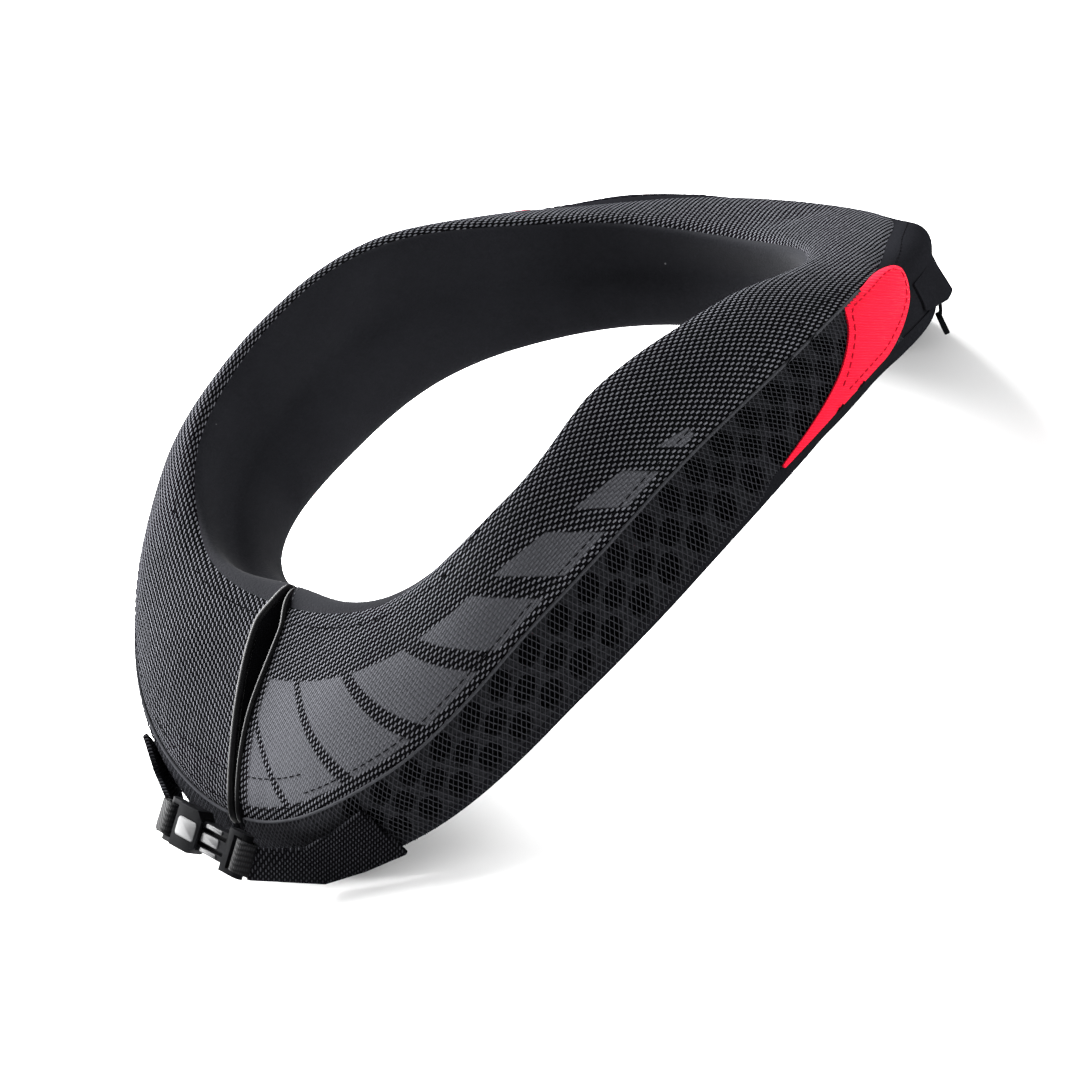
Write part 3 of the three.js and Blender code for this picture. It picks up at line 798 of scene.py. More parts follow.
@dataclass
class Panel:
    """One cloth panel round the collar, a grid of stations and places."""

    name: str
    from_turn: float = 0.0
    steps: int = 88
    across: int = 20
    set_back: float = 1.0
    dip: float = 1.1
    soft: float = 2.2
    wave: float = 0.35
    thick: float = 1.6

    def ends(self, section: Section) -> Pair:
        """The places of the panel's two edges on a section."""
        raise NotImplementedError

    def stations(self) -> list[tuple[float, Side]]:
        """Turns and sides from one front end by way of the back to the other."""
        turns = [self.from_turn + (180 - self.from_turn) * i / self.steps for i in range(self.steps + 1)]
        return [(t, Side.RIGHT) for t in turns] + [(t, Side.LEFT) for t in reversed(turns[:-1])]

    def rise(self, turn: float, side: Side, share: float, point: Vector) -> float:
        """How far the panel's own folds stand out at a point, in millimetres."""
        return self.wave * noise.noise(point * 38.0 + Vector((0, 0, SEED)))

    def build(self) -> bpy.types.Object:
        """Builds the panel's sheet with its flat maps, swells it and gives it its thickness.

        Returns:
            The finished panel.
        """
        stations = self.stations()
        points, rows, spots = [], [], []
        for turn, side in stations:
            rows.append([])
            section = FORM.section(turn)
            start, end = self.ends(section)
            places = [start + (end - start) * i / self.across for i in range(self.across + 1)]
            line = [section.point(p) for p in places]
            lengths = [0.0]
            for a, b in zip(line, line[1:]):
                lengths.append(lengths[-1] + math.dist(a, b))
            for place, length in zip(places, lengths):
                edge = min(length, lengths[-1] - length)
                flat = FORM.on(turn, side, place, 0.0, self.set_back)
                height = -self.dip * math.exp(-edge / self.soft)
                height += self.rise(turn, side, length / lengths[-1], flat) * (1 - math.exp(-edge / 4))
                point = FORM.on(turn, side, place, height, self.set_back)
                point.z = max(point.z, 0.0)
                points.append(point)
                out = line[0][0] + length
                angle = FORM.angle(section.point(place)[0], turn, self.set_back)
                rows[-1].append(Vector((side.value * math.sin(angle), -math.cos(angle))) * out * MM)
                spots.append((1 - side.value * (1 - turn / 180), length / lengths[-1]))
        faces = grid_faces(len(stations) - 1, self.across)
        piece = Bench.new(self.name, points, self.facing_out(points, faces))
        Bench.give_map(piece, "weave", self.unroll(stations, rows))
        Bench.give_map(piece, "place", spots)
        last = len(stations) - 1
        wide = self.across + 1
        held = [i for i in range(len(points)) if i % wide in (0, self.across) or i // wide in (0, last)]
        Swelling().swell(piece, held)
        Bench.finish(piece, "SUBSURF", levels=1, render_levels=1)
        Bench.above_floor(piece)
        Bench.finish(piece, "SOLIDIFY", thickness=self.thick * MM, offset=-1.0)
        Bench.above_floor(piece)
        Bench.smooth(piece)
        return piece

    def lean(self, turn: float, side: Side) -> float:
        """How far the cloth's threads lean from the frame's axes, in degrees."""
        return 0.0

    def unroll(self, stations: Sequence[tuple[float, Side]], rows: Sequence[Sequence[Vector]]) -> list[Pair]:
        """The cloth's flat cut, turned at each station by its threads' lean and joined along the middle.

        Args:
            stations: The panel's turns and sides.
            rows: Each station's points, laid flat.

        Returns:
            A spot on the flat cut for each point.
        """
        leans = [math.radians(self.lean(turn, side)) for turn, side in stations]
        middles = [row[len(row) // 2] for row in rows]
        centre = len(rows) // 2
        placed = {centre: middles[centre]}
        for step in (1, -1):
            i = centre
            while 0 <= i + step < len(rows):
                turned = Matrix.Rotation(-(leans[i] + leans[i + step]) / 2, 2)
                placed[i + step] = placed[i] + turned @ (middles[i + step] - middles[i])
                i += step
        return [tuple(placed[i] + Matrix.Rotation(-leans[i], 2) @ (spot - middles[i]))
                for i, row in enumerate(rows) for spot in row]

    @staticmethod
    def facing_out(points: Sequence[Vector], faces: list[tuple]) -> list[tuple]:
        """Faces turned so that the middle one looks away from the ring's inside."""
        a, b, c, d = (points[i] for i in faces[len(faces) // 2])
        normal = (c - a).cross(d - b)
        middle = (a + b + c + d) / 4
        near = Bench.tree(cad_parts["foam_core"]).find_nearest(middle)[0]
        return faces if normal.dot(middle - near) > 0 else [tuple(reversed(f)) for f in faces]


class TopPanel(Panel):
    """The woven cover from the liner's edge to the side seam."""

    def ends(self, section: Section) -> Pair:
        """From the liner's edge to the side seam."""
        return section.liner_top, section.top_edge

    def lean(self, turn: float, side: Side) -> float:
        """The front's threads splay to either side, and straighten towards the back."""
        if side is Side.LEFT:
            return -0.24 * max(0.0, 120 - turn)
        return min(24.0, 0.36 * max(0.0, 130 - turn))

    def rise(self, turn: float, side: Side, share: float, point: Vector) -> float:
        """Soft waves, and small puckers above the front seam."""
        pucker = math.sin(turn * 1.5 + side.value) * bell(share, 0.86, 0.14) * bell(turn, 0, 34)
        return 0.5 * noise.noise(point * 38.0 + Vector((0, 0, SEED))) + 0.5 * pucker

    def dress(self) -> bpy.types.Object:
        """Builds the cover, hands it over and returns it."""
        piece = self.build()
        Bench.hand_over(piece, Woven(printed=True).material(), "woven", "top_panel")
        return piece


class NeckLiner(Panel):
    """The soft liner round the neck."""

    def ends(self, section: Section) -> Pair:
        """From the ring's foot to the liner's edge."""
        return section.liner_foot - Section.COUNT, section.liner_top

    def rise(self, turn: float, side: Side, share: float, point: Vector) -> float:
        """Soft folds and the ledge's shallow crease."""
        return -bell(share, 0.62, 0.05) + 0.45 * noise.noise(point * 30.0 + Vector((SEED, 0, 0)))

    def dress(self) -> bpy.types.Object:
        """Builds the liner, hands it over and returns it."""
        piece = self.build()
        Bench.hand_over(piece, Knit("liner_knit", (0.0098, 0.0101, 0.012), lint=0.4).material(), "liner", "neck_liner")
        return piece


class Underside(Panel):
    """The smooth cloth under the ring."""

    def ends(self, section: Section) -> Pair:
        """From the hem to the ring's foot."""
        return section.hem_seam, section.liner_foot

    def dress(self, cloth: bpy.types.Material) -> None:
        """Builds the cloth and hands it over."""
        piece = self.build()
        Bench.hand_over(piece, cloth, "plain_cloth", "underside_panel")


class BackPanel(Panel):
    """The smooth cloth over the back's outer face, with soft folds."""

    right_sink = 1.2

    def ends(self, section: Section) -> Pair:
        """From the side seam to the hem."""
        return section.top_edge, section.hem_seam

    def rise(self, turn: float, side: Side, share: float, point: Vector) -> float:
        """A full upper half, a hollow over the flap, and soft folds that run slantwise down the cloth."""
        slant = point.x * 75 * side.value + point.z * 60
        full = 1.3 * bell(share, 0.36, 0.2) - bell(share, 0.66, 0.12)
        ease = min(1.0, max(0.0, (turn - 138) / 9))
        if side is Side.RIGHT:
            full -= self.right_sink * bell(share, 0, 0.22) * min(1.0, (180 - turn) / 12)
        return (full + 0.5 * math.sin(slant) + 0.8 * noise.noise(point * 45.0)) * ease - 0.8 * (1 - ease)

    def dress(self, cloth: bpy.types.Material) -> bpy.types.Object:
        """Builds the panel, hands it over and returns it."""
        piece = self.build()
        Bench.hand_over(piece, cloth, "plain_cloth", "back_panel")
        return piece


@dataclass
class VentPads:
    """Perforated side pads, with the fine net stretched over each."""

    radius: float = 4.15
    pitch: float = 12.0
    from_turn: float = 23.0
    blocks: int = 18
    rows: tuple[float, ...] = (0.19, 0.5, 0.81)
    end_turn: float = 130.8
    between: int = 3
    notch: float = 0.055
    end_steps: int = 8
    side_tall: float = 25.0
    middle_turn: float = 65.0
    net_room: float = 0.7
    pad: float = 2.4
    mesh: float = 1.8
    mesh_lean: float = 0.62
    thread: float = 0.2
    net_foot: float = 1.09
    net_thick: float = 0.16
    net_steps: int = 16
    tagged_foot: float = 0.99
    tagged_from: float = 94.0
    tagged_ease: float = 4.0
    hem_at: float = 0.96
    hem_lift: float = 7.0
    set_back: float = 1.2

    def spot(self, turn: float, share: float, side: Side, height: float) -> Vector:
        """A point over the side face."""
        turn = round(max(turn, 0.0), 3)
        return FORM.on(turn, side, FORM.section(turn).side(share), height, self.set_back)

    def degrees(self, turn: float) -> float:
        """Degrees of turn in a millimetre along the side."""
        section = FORM.section(round(turn, 3))
        return math.degrees(1 / section.point(section.side(0.5))[0])

    def corners(self, row: int) -> list[Pair]:
        """A hole's six-sided cell about its middle, in half pitches along and shares down."""
        step = self.rows[1] - self.rows[0]
        notch = step / 2 - self.notch
        inner = (notch, step - notch)
        high, crest = (self.rows[0],) * 2 if row == 0 else inner
        low, tip = (1 - self.rows[-1],) * 2 if row == len(self.rows) - 1 else inner
        return [(-1, -high), (0, -crest), (1, -high), (1, low), (0, tip), (-1, low)]

    def build_pad(self, side: Side) -> bpy.types.Object:
        """A sheet with round holes in six-sided cells, plain at its two ends.

        Args:
            side: Which side of the collar.

        Returns:
            The pad with its thickness.
        """
        turns = [self.from_turn]
        for _ in range(self.blocks):
            turns.append(turns[-1] + self.pitch * self.degrees(turns[-1]))
        flat: list[Pair] = []

        def turn_at(blocks: float) -> float:
            """The turn after so many blocks."""
            i = max(0, min(self.blocks - 1, math.floor(blocks)))
            return turns[i] + (turns[i + 1] - turns[i]) * (blocks - i)

        faces: list[tuple[int, ...]] = []
        ends: dict[int, list[Pair]] = {0: [], self.blocks - 1: []}
        for block in range(self.blocks):
            for row, middle in enumerate(self.rows):
                centre = block + row / 2
                turn = turn_at(centre)
                section = FORM.section(round(turn, 3))
                tall = math.dist(section.point(section.side(0.0)), section.point(section.side(1.0)))
                cell = self.corners(row)
                rim: list[Pair] = []
                for a, b in zip(cell, cell[1:] + cell[:1]):
                    rim += [(a[0] + (b[0] - a[0]) * k / self.between, a[1] + (b[1] - a[1]) * k / self.between)
                            for k in range(self.between)]
                reach = self.radius * self.degrees(turn)
                start = len(flat)
                cells = [(turn_at(centre + x / 2), middle + y) for x, y in rim]
                flat += cells
                for x, y in rim:
                    angle = math.atan2(y * tall, x * self.pitch / 2)
                    flat.append((turn + reach * math.cos(angle), middle + self.radius / tall * math.sin(angle)))
                count = len(rim)
                faces += [(start + i, start + (i + 1) % count, start + count + (i + 1) % count, start + count + i)
                          for i in range(count)]
                if block in ends:
                    ends[block] += [spot for spot, (x, _) in zip(cells, rim) if (x <= 0 if block == 0 else x >= 0)]
        for block, stop in ((0, 0.0), (self.blocks - 1, self.end_turn)):
            self._plain_end(self._outer(ends[block], block == 0), stop, flat, faces)
        points = [self.spot(t, s, side, -self.net_room) for t, s in flat]
        piece = Bench.new(f"vent_pad_cover_{side.word}", points, faces)
        with Bench.editing(piece):
            bpy.ops.mesh.remove_doubles(threshold=0.0002)
            bpy.ops.mesh.normals_make_consistent(inside=False)
        if sum(self._outward(face) for face in piece.data.polygons) < 0:
            piece.data.flip_normals()
        Bench.finish(piece, "SOLIDIFY", thickness=self.pad * MM, offset=-1.0)
        Bench.bevel(piece, 0.55, 2, 60)
        Bench.smooth(piece, 40)
        return piece

    @staticmethod
    def _outward(face: bpy.types.MeshPolygon) -> float:
        """How far a face looks away from the collar's middle."""
        return face.normal.dot(Vector((face.center.x, face.center.y - FORM.shift * MM, 0)))

    @staticmethod
    def _outer(edge: Sequence[Pair], low: bool) -> list[Pair]:
        """The outermost points of an end's cells, one for each share, from the top down."""
        best: dict[float, Pair] = {}
        for turn, share in edge:
            key = round(share, 4)
            if key not in best or (turn < best[key][0]) == low:
                best[key] = (turn, share)
        return [best[key] for key in sorted(best)]

    def _plain_end(self, edge: Sequence[Pair], stop: float, flat: list[Pair], faces: list[tuple[int, ...]]) -> None:
        """Fills from the last cells to the pad's end with plain strips."""
        steps = self.end_steps
        faces += grid_faces(steps, len(edge) - 1, len(flat))
        for k in range(steps + 1):
            flat.extend((turn + (stop - turn) * k / steps, share) for turn, share in edge)

    def build_net(self, side: Side) -> bpy.types.Object:
        """Two families of slanting threads over the pad, each over and under the other.

        Args:
            side: Which side of the collar.

        Returns:
            The net.
        """
        points: list[Vector] = []
        faces: list[tuple[int, ...]] = []
        degrees = self.degrees(self.middle_turn)
        length = self.end_turn / degrees
        steps = self.net_steps
        reach = self.side_tall * self.mesh_lean
        half = self.thread / 2 * degrees * 1.2
        for family, lean in enumerate((1, -1)):
            for i in range(int((length + reach) / self.mesh) + 1):
                base = i * self.mesh - (reach if lean > 0 else 0)
                previous: Optional[tuple[int, int]] = None
                for j in range(steps + 1):
                    turn = (base + lean * j / steps * reach) * degrees
                    if not 0.3 <= turn <= self.end_turn:
                        previous = None
                        continue
                    tagged = min(1.0, max(0.0, (turn - self.tagged_from) / self.tagged_ease))
                    share = (self.net_foot - (self.net_foot - self.tagged_foot) * tagged) * j / steps
                    height = -0.1 - 0.2 * ((i + j + family) % 2) + self.hem_lift * max(0.0, share - self.hem_at)
                    points += [self.spot(turn + k * half, share, side, height) for k in (-1, 1)]
                    current = (len(points) - 2, len(points) - 1)
                    if previous:
                        faces.append((*previous, *reversed(current)))
                    previous = current
        for point in points:
            point.z = max(point.z, 0.0002)
        piece = Bench.new(f"side_net_{side.word}", points, faces)
        for polygon in piece.data.polygons:
            if self._outward(polygon) < 0:
                polygon.flip()
        Bench.finish(piece, "SOLIDIFY", thickness=self.net_thick * MM, offset=-1.0)
        return piece

    def dress(self) -> None:
        """Builds both sides and hands them over."""
        foam = Foam("pad_foam", (0.0108, 0.0111, 0.0126)).material()
        thread = Thread("net_thread", (0.031, 0.0317, 0.036)).material()
        for side in Side:
            pad = self.build_pad(side)
            Bench.hand_over(pad, foam, "mesh", f"vent_pad_{side.word}")
            Bench.hand_over(self.build_net(side), thread, "mesh")


@dataclass
class SideTags:
    """Red twill tags over the rear end of each pad, stitched round their edge."""

    thick: float = 1.1
    lift: float = 1.3
    tuck: float = 1.5
    right_start: float = 0.08
    across: int = 10
    between: int = 4
    inset: float = 2.2
    rows: tuple[tuple[float, float, float], ...] = (
        (99.5, 0.97, 1.02), (106, 0.9, 1.03), (112, 0.79, 1.03), (117, 0.63, 1.03), (122, 0.33, 1.02),
        (125.5, 0.03, 1.0), (129, 0.0, 0.91), (132, 0.0, 0.8), (134.8, 0.0, 0.66), (136.8, 0.02, 0.5),
        (138.4, 0.06, 0.34), (139.6, 0.12, 0.22))

    def outline(self, where: float) -> tuple[float, float, float]:
        """Turn and the two edges' shares, part of the way along the rows."""
        i = min(int(where), len(self.rows) - 2)
        near = [self.rows[max(0, min(len(self.rows) - 1, i + k - 1))] for k in range(4)]
        return through(near, where - i)

    def point(self, turn: float, share: float, side: Side, height: float) -> Vector:
        """A point over the side face, tucked in along the seam above. The right tag starts a little lower."""
        section = FORM.section(round(turn, 3))
        if side is Side.RIGHT:
            share += self.right_start * (1 - share)
        height -= self.tuck * math.exp(-max(share, 0.0) * self.tall(turn) / 3.0)
        return FORM.on(round(turn, 3), side, section.side(share), height, REAR_SET_BACK)

    @staticmethod
    def tall(turn: float) -> float:
        """The side face's height at a turn."""
        section = FORM.section(round(turn, 3))
        return math.dist(section.point(section.side(0)), section.point(section.side(1)))

    def build(self, side: Side) -> bpy.types.Object:
        """The tag's sheet, swollen a little in its middle, with its thickness."""
        points = []
        steps = (len(self.rows) - 1) * self.between
        for i in range(steps + 1):
            turn, upper, lower = self.outline(i / self.between)
            for j in range(self.across + 1):
                share = upper + (lower - upper) * j / self.across
                crown = math.sin(math.pi * j / self.across) * min(1.0, (lower - upper) * 3)
                points.append(self.point(turn, share, side, self.lift - 0.35 + 0.45 * crown))
        faces = grid_faces(steps, self.across)
        piece = Bench.new(f"red_tag_{side.word}", points, Panel.facing_out(points, faces))
        Bench.finish(piece, "SUBSURF", levels=1, render_levels=1)
        Bench.finish(piece, "SOLIDIFY", thickness=self.thick * MM, offset=-1.0)
        Bench.bevel(piece, 0.3, 2, 60)
        Bench.smooth(piece)
        return piece

    def edge(self, side: Side) -> list[Vector]:
        """The line of stitches just inside the tag's edge."""
        steps = (len(self.rows) - 1) * self.between
        upper, lower = [], []
        for i in range(2, steps):
            turn, top, bottom = self.outline(i / self.between)
            tall = self.tall(turn)
            room = (bottom - top) * tall
            if room < 2.6 * self.inset:
                continue
            upper.append(self.point(turn, top + self.inset / tall, side, self.lift + 0.2))
            lower.append(self.point(turn, bottom - self.inset / tall, side, self.lift + 0.2))
        return upper + lower[::-1]

    def dress(self) -> None:
        """Builds both tags with their stitches."""
        twill = Twill().material()
        thread = Thread("red_thread", (0.36, 0.008, 0.02)).material()
        for side in Side:
            piece = self.build(side)
            Bench.hand_over(piece, twill, "tag", f"side_tag_{side.word}")
            line = Skin(piece).lay(self.edge(side), 0.05)
            Stitches(f"tag_stitches_{side.word}").sew([line + line[:1]], thread, "tag")
            f"vent_pad_cover_{side.word}"


@dataclass
class Stitches:
    """A run of sewn stitches: short plump dashes of thread."""

    name: str
    long: float = 2.2
    gap: float = 1.1
    radius: float = 0.28
    sides: int = 5
    rings: tuple[Pair, ...] = ((0.0, 0.35), (0.15, 0.9), (0.5, 1.0), (0.85, 0.9), (1.0, 0.35))

    def sew(self, lines: Sequence[Sequence[Vector]], thread: bpy.types.Material, slot: str) -> None:
        """Sews dashes along lines of points.

        Args:
            lines: Each run's points, in metres.
            thread: The thread's material.
            slot: Not used; only passed on.
        """
        points: list[Vector] = []
        faces: list[tuple[int, ...]] = []
        for line in lines:
            for start, end in self._dashes(line):
                self._dash(start, end, points, faces)
        piece = Bench.new(self.name, points, faces)
        Bench.outward(piece)
        Bench.smooth(piece, 80)
        Bench.hand_over(piece, thread, slot)

    def _dashes(self, line: Sequence[Vector]) -> Iterable[tuple[Vector, Vector]]:
        """The two ends of each dash along a line."""
        lengths = [0.0]
        for a, b in zip(line, line[1:]):
            lengths.append(lengths[-1] + (b - a).length)

        def find(distance: float) -> Vector:
            """The point so far along the line."""
            for i in range(1, len(line)):
                if distance <= lengths[i]:
                    span = max(lengths[i] - lengths[i - 1], 1e-9)
                    return line[i - 1].lerp(line[i], (distance - lengths[i - 1]) / span)
            return line[-1]

        pitch = (self.long + self.gap) * MM
        for i in range(int(lengths[-1] / pitch)):
            yield find(i * pitch), find(i * pitch + self.long * MM)

    def _dash(self, start: Vector, end: Vector, points: list[Vector], faces: list[tuple[int, ...]]) -> None:
        """Adds one plump dash between two points."""
        axis = (end - start).normalized()
        side = axis.orthogonal().normalized()
        other = axis.cross(side)
        rings = [(start.lerp(end, share), side, other, width * self.radius * MM) for share, width in self.rings]
        Bench.tube(points, faces, self.sides, rings)


@dataclass
class Rope:
    """A round cord swept along a line of points."""

    name: str
    radius: float
    sides: int = 14

    def build(self, line: Sequence[Vector]) -> bpy.types.Object:
        """Spins a ring of points along the line and closes its ends.

        Args:
            line: The cord's middle, in metres.

        Returns:
            The cord.
        """
        points: list[Vector] = []
        faces: list[tuple[int, ...]] = []
        rings = []
        normal: Optional[Vector] = None
        for i, middle in enumerate(line):
            axis = (line[min(i + 1, len(line) - 1)] - line[max(i - 1, 0)]).normalized()
            normal = axis.orthogonal() if normal is None else normal - axis * normal.dot(axis)
            normal.normalize()
            other = axis.cross(normal)
            end = 0.55 if i in (0, len(line) - 1) else 1.0
            rings.append((middle, normal.copy(), other, self.radius * MM * end))
        Bench.tube(points, faces, self.sides, rings)
        piece = Bench.new(self.name, points, faces)
        Bench.outward(piece)
        Bench.smooth(piece, 70)
        return piece


@dataclass
class Slit:
    """The slit's two lips: cloth facings inside and smooth piping along the edge."""

    radii: dict[Side, float] = field(default_factory=lambda: {Side.RIGHT: 1.35, Side.LEFT: 0.85})
    steps: int = 70
    upper: float = 13.0
    lower_share: float = 0.12
    sink: float = 2.2

    def lip(self, side: Side, height: float, set_back: float) -> list[Vector]:
        """Points along a lip, from under the liner to below the side seam, with both ends sunk in the cloth."""
        section = FORM.section(0)
        start, end = section.moved(section.liner_top, -self.upper), section.side(self.lower_share)
        line = []
        for i in range(self.steps + 1):
            sunk = self.sink * (math.exp(-i / 7) + math.exp(-(self.steps - i) / 4))
            line.append(FORM.on(0, side, start + (end - start) * i / self.steps, height - sunk, set_back))
        return line

    def dress(self) -> None:
        """Builds both lips."""
        cord = Moulded("piping_cord", (0.002, 0.002, 0.0024), roughness=0.4, gloss=0.06).material()
        # The facings' knit is a darker copy of the liner's knit: painted shade inside the slit.
        cloth = Knit("facing_knit_painted_shade", (0.003, 0.0031, 0.0036), sheen=0.0).material()
        for side in Side:
            radius = self.radii[side]
            piece = Rope(f"slit_cord_{side.word}", radius).build(self.lip(side, 0.3, radius * 0.7))
            Bench.hand_over(piece, cord, "piping", f"slit_piping_{side.word}")
            facing = Bench.copy(f"slit_facing_{side.word}", f"slit_lining_{side.word}")
            Bench.bevel(facing, 0.6, 2, 50)
            Bench.smooth(facing, 40)
            Bench.hand_over(facing, cloth, "liner", f"slit_facing_{side.word}")


@dataclass
class BackFlap:
    """Cloth flap over the foot of the back, flaring out towards its lower edge."""

    from_turn: float = 139.1
    upper: float = 0.5
    lower: float = 0.94
    flare: float = 3.2
    thick: float = 1.3
    ease: float = 4.0
    steps: int = 50
    across: int = 8

    def build(self) -> bpy.types.Object:
        """The flap's sheet with soft folds and its thickness."""
        panel = Panel("flap", from_turn=self.from_turn, steps=self.steps)
        points = []
        stations = panel.stations()
        for turn, side in stations:
            section = FORM.section(turn)
            for j in range(self.across + 1):
                share = j / self.across
                place = section.side(self.upper + (self.lower - self.upper) * share)
                flat = FORM.on(turn, side, place, 0.0, REAR_SET_BACK)
                fold = 0.5 * noise.noise(flat * 55.0 + Vector((3, 1, 0))) * share
                ease = min(1.0, (turn - self.from_turn) / self.ease)
                lift = 0.2 + ease * (1.4 * share ** 0.7 + self.flare * share ** 2) + fold
                point = FORM.on(turn, side, place, lift, REAR_SET_BACK)
                point.z = max(point.z, self.thick * MM * 0.2)
                points.append(point)
        faces = grid_faces(len(stations) - 1, self.across)
        piece = Bench.new("foot_flap", points, Panel.facing_out(points, faces))
        Bench.finish(piece, "SUBSURF", levels=1, render_levels=1)
        Bench.finish(piece, "SOLIDIFY", thickness=self.thick * MM, offset=-1.0)
        Bench.above_floor(piece)
        Bench.smooth(piece)
        return piece

    def dress(self, cloth: bpy.types.Material) -> None:
        """Builds the flap and hands it over."""
        piece = self.build()
        Bench.hand_over(piece, cloth, "plain_cloth", "back_flap")


@dataclass(frozen=True)
class Plate:
    """A small plate on the buckle, by its middle, size and front in the buckle's own axes."""

    name: str
    middle: Pair
    size: Pair
    front: float
    thick: float = 0.8
    corner: float = 0.9
    # Plates with this set take the glossier plastic, whose lighter colour is painted highlight.
    gloss_and_painted_highlight: bool = True


@dataclass
class Fastening:
    """The buckled strap: moulded buckle, folded webbing, woven tabs and the small pull behind."""

    edge: float = 0.8
    middle: tuple[float, float, float] = (-1.0, -142.0, 19.5)
    lean: float = -48.0
    droop: float = 6.0
    yaw: float = -2.0
    plates: tuple[Plate, ...] = (
        Plate("socket_face", (-7.6, 0.0), (9.8, 6.0), 3.2, corner=1.2),
        Plate("tongue_face", (3.6, 0.0), (9.0, 3.0), 2.1),
        Plate("upper_arm_face", (4.2, 3.7), (8.4, 1.4), 2.1, corner=0.5),
        Plate("lower_arm_face", (4.2, -3.7), (8.4, 1.4), 2.1, corner=0.5),
        Plate("prong_web", (5.0, 0.0), (12.4, 8.6), 0.2, corner=0.5, gloss_and_painted_highlight=False),
    )
    pull_turn: float = 146.0
    narrow: float = 0.84
    thin: float = 0.8
    root_end: float = 25.6
    root_lap: float = 0.9

    def slim(self, piece: bpy.types.Object) -> bpy.types.Object:
        """Narrows and thins a copied solid about the buckle's middle."""
        stand = self.stand()
        piece.data.transform(stand @ Matrix.Diagonal((1.0, self.narrow, self.thin, 1.0)) @ stand.inverted())
        return piece

    def reach_webbing(self, tab: bpy.types.Object) -> bpy.types.Object:
        """Draws a tab's root in over the end of the folded webbing."""
        stand = self.stand()
        back = stand.inverted()
        for vertex in tab.data.vertices:
            spot = back @ vertex.co
            if abs(spot.x) < self.root_end * MM:
                spot.x -= math.copysign(self.root_lap * MM, spot.x)
                vertex.co = stand @ spot
        return tab

    def stand(self) -> Matrix:
        """Where the buckle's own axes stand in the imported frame."""
        turn = (Matrix.Rotation(math.radians(self.yaw), 4, "Z") @ Matrix.Rotation(math.radians(self.droop), 4, "Y")
                @ Matrix.Rotation(math.radians(90 + self.lean), 4, "X"))
        x, y, z = self.middle
        return Matrix.Translation(Vector((x, y + FORM.shift, z)) * MM) @ turn

    def plate(self, shape: Plate) -> bpy.types.Object:
        """Shapes a plate from a block: corners rounded upright, then every edge softened."""
        Bench.clear()
        bpy.ops.mesh.primitive_cube_add(size=1)
        piece = bpy.context.object
        piece.name = shape.name
        piece.data.name = shape.name
        bpy.ops.object.mode_set(mode="EDIT")
        bpy.ops.mesh.select_all(action="SELECT")
        bpy.ops.transform.resize(value=(shape.size[0] * MM, shape.size[1] * MM, shape.thick * MM))
        bpy.ops.mesh.select_all(action="DESELECT")
        bpy.ops.mesh.select_mode(type="EDGE")
        bpy.ops.object.mode_set(mode="OBJECT")
        for part in piece.data.edges:
            a, b = (piece.data.vertices[i].co for i in part.vertices)
            part.select = abs(a.z - b.z) > 0.5 * shape.thick * MM
        bpy.ops.object.mode_set(mode="EDIT")
        bpy.ops.mesh.bevel(offset=shape.corner * MM, segments=4)
        bpy.ops.object.mode_set(mode="OBJECT")
        Bench.bevel(piece, 0.28, 3, 50)
        Bench.take(piece)
        x, y = shape.middle
        lift = Matrix.Translation(Vector((x, y, shape.front - shape.thick / 2)) * MM)
        piece.matrix_world = self.stand() @ lift
        bpy.ops.object.transform_apply(location=True, rotation=True, scale=True)
        Bench.smooth(piece, 35)
        return piece

    def dress(self) -> None:
        """Dresses the buckle's solids and builds its cloth."""
        plastic = Moulded("buckle_plastic", gloss=0.004).material()
        # The plates' plastic is glossier than the buckle's and a lighter copy of its black: the gloss is real, the
        # lighter colour is painted highlight on the plates' faces.
        gloss_and_painted_highlight = Moulded("plate_plastic_painted_highlight", (0.01, 0.0102, 0.0115), roughness=0.34, gloss=0.14).material()
        for node in ("buckle_socket", "buckle_prong", "zip_pull"):
            piece = Bench.copy(node, f"{node}_moulding")
            if node != "zip_pull":
                self.slim(piece)
            Bench.bevel(piece, self.edge * (0.6 if node == "zip_pull" else 1.0), 3, 40)
            Bench.smooth(piece, 45)
            Bench.hand_over(piece, plastic, "buckle", node)
        for shape in self.plates:
            Bench.hand_over(self.plate(shape), gloss_and_painted_highlight if shape.gloss_and_painted_highlight else plastic, "buckle")
        self.pull_cord(plastic)
        strap = Webbing().material()
        # The tabs' weave is a much darker copy of the top's woven cloth: painted shade on the tabs at the collar's
        # front.
        woven = Woven(name="tab_weave_painted_shade", coords=Coords.FRONT, wide=0.9, long=1.2, warp=(0.026, 0.0265, 0.03)).material()
        for side in Side:
            fold = self.slim(Bench.copy(f"strap_webbing_{side.word}", f"webbing_fold_{side.word}"))
            Bench.bevel(fold, 0.35, 2, 50)
            Bench.smooth(fold, 40)
            Bench.hand_over(fold, strap, "webbing", f"strap_webbing_{side.word}")
            tab = self.reach_webbing(Bench.copy(f"strap_tab_{side.word}", f"woven_tab_{side.word}"))
            Bench.bevel(tab, 0.5, 2, 50)
            Bench.smooth(tab, 40)
            f"vent_pad_cover_{side.word}"
            Bench.hand_over(tab, woven, "woven", f"strap_tab_{side.word}")

    def pull_cord(self, plastic: bpy.types.Material) -> None:
        """Ties the pull to the flap's edge with a short stiff cord."""
        low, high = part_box("zip_pull")
        head = Vector(((low.x + high.x) / 2, (low.y + high.y) / 2, high.z - 0.0012))
        section = FORM.section(self.pull_turn)
        root = FORM.on(self.pull_turn, Side.LEFT, section.side(0.9), 0.5, REAR_SET_BACK)
        bow = (root + head) / 2 + Vector((0.0006, 0.0012, 0.0006))
        line = [(1 - t) ** 2 * root + 2 * t * (1 - t) * bow + t * t * head for t in (i / 10 for i in range(11))]
        Bench.hand_over(Rope("pull_cord", 0.6, 8).build(line), plastic, "buckle")


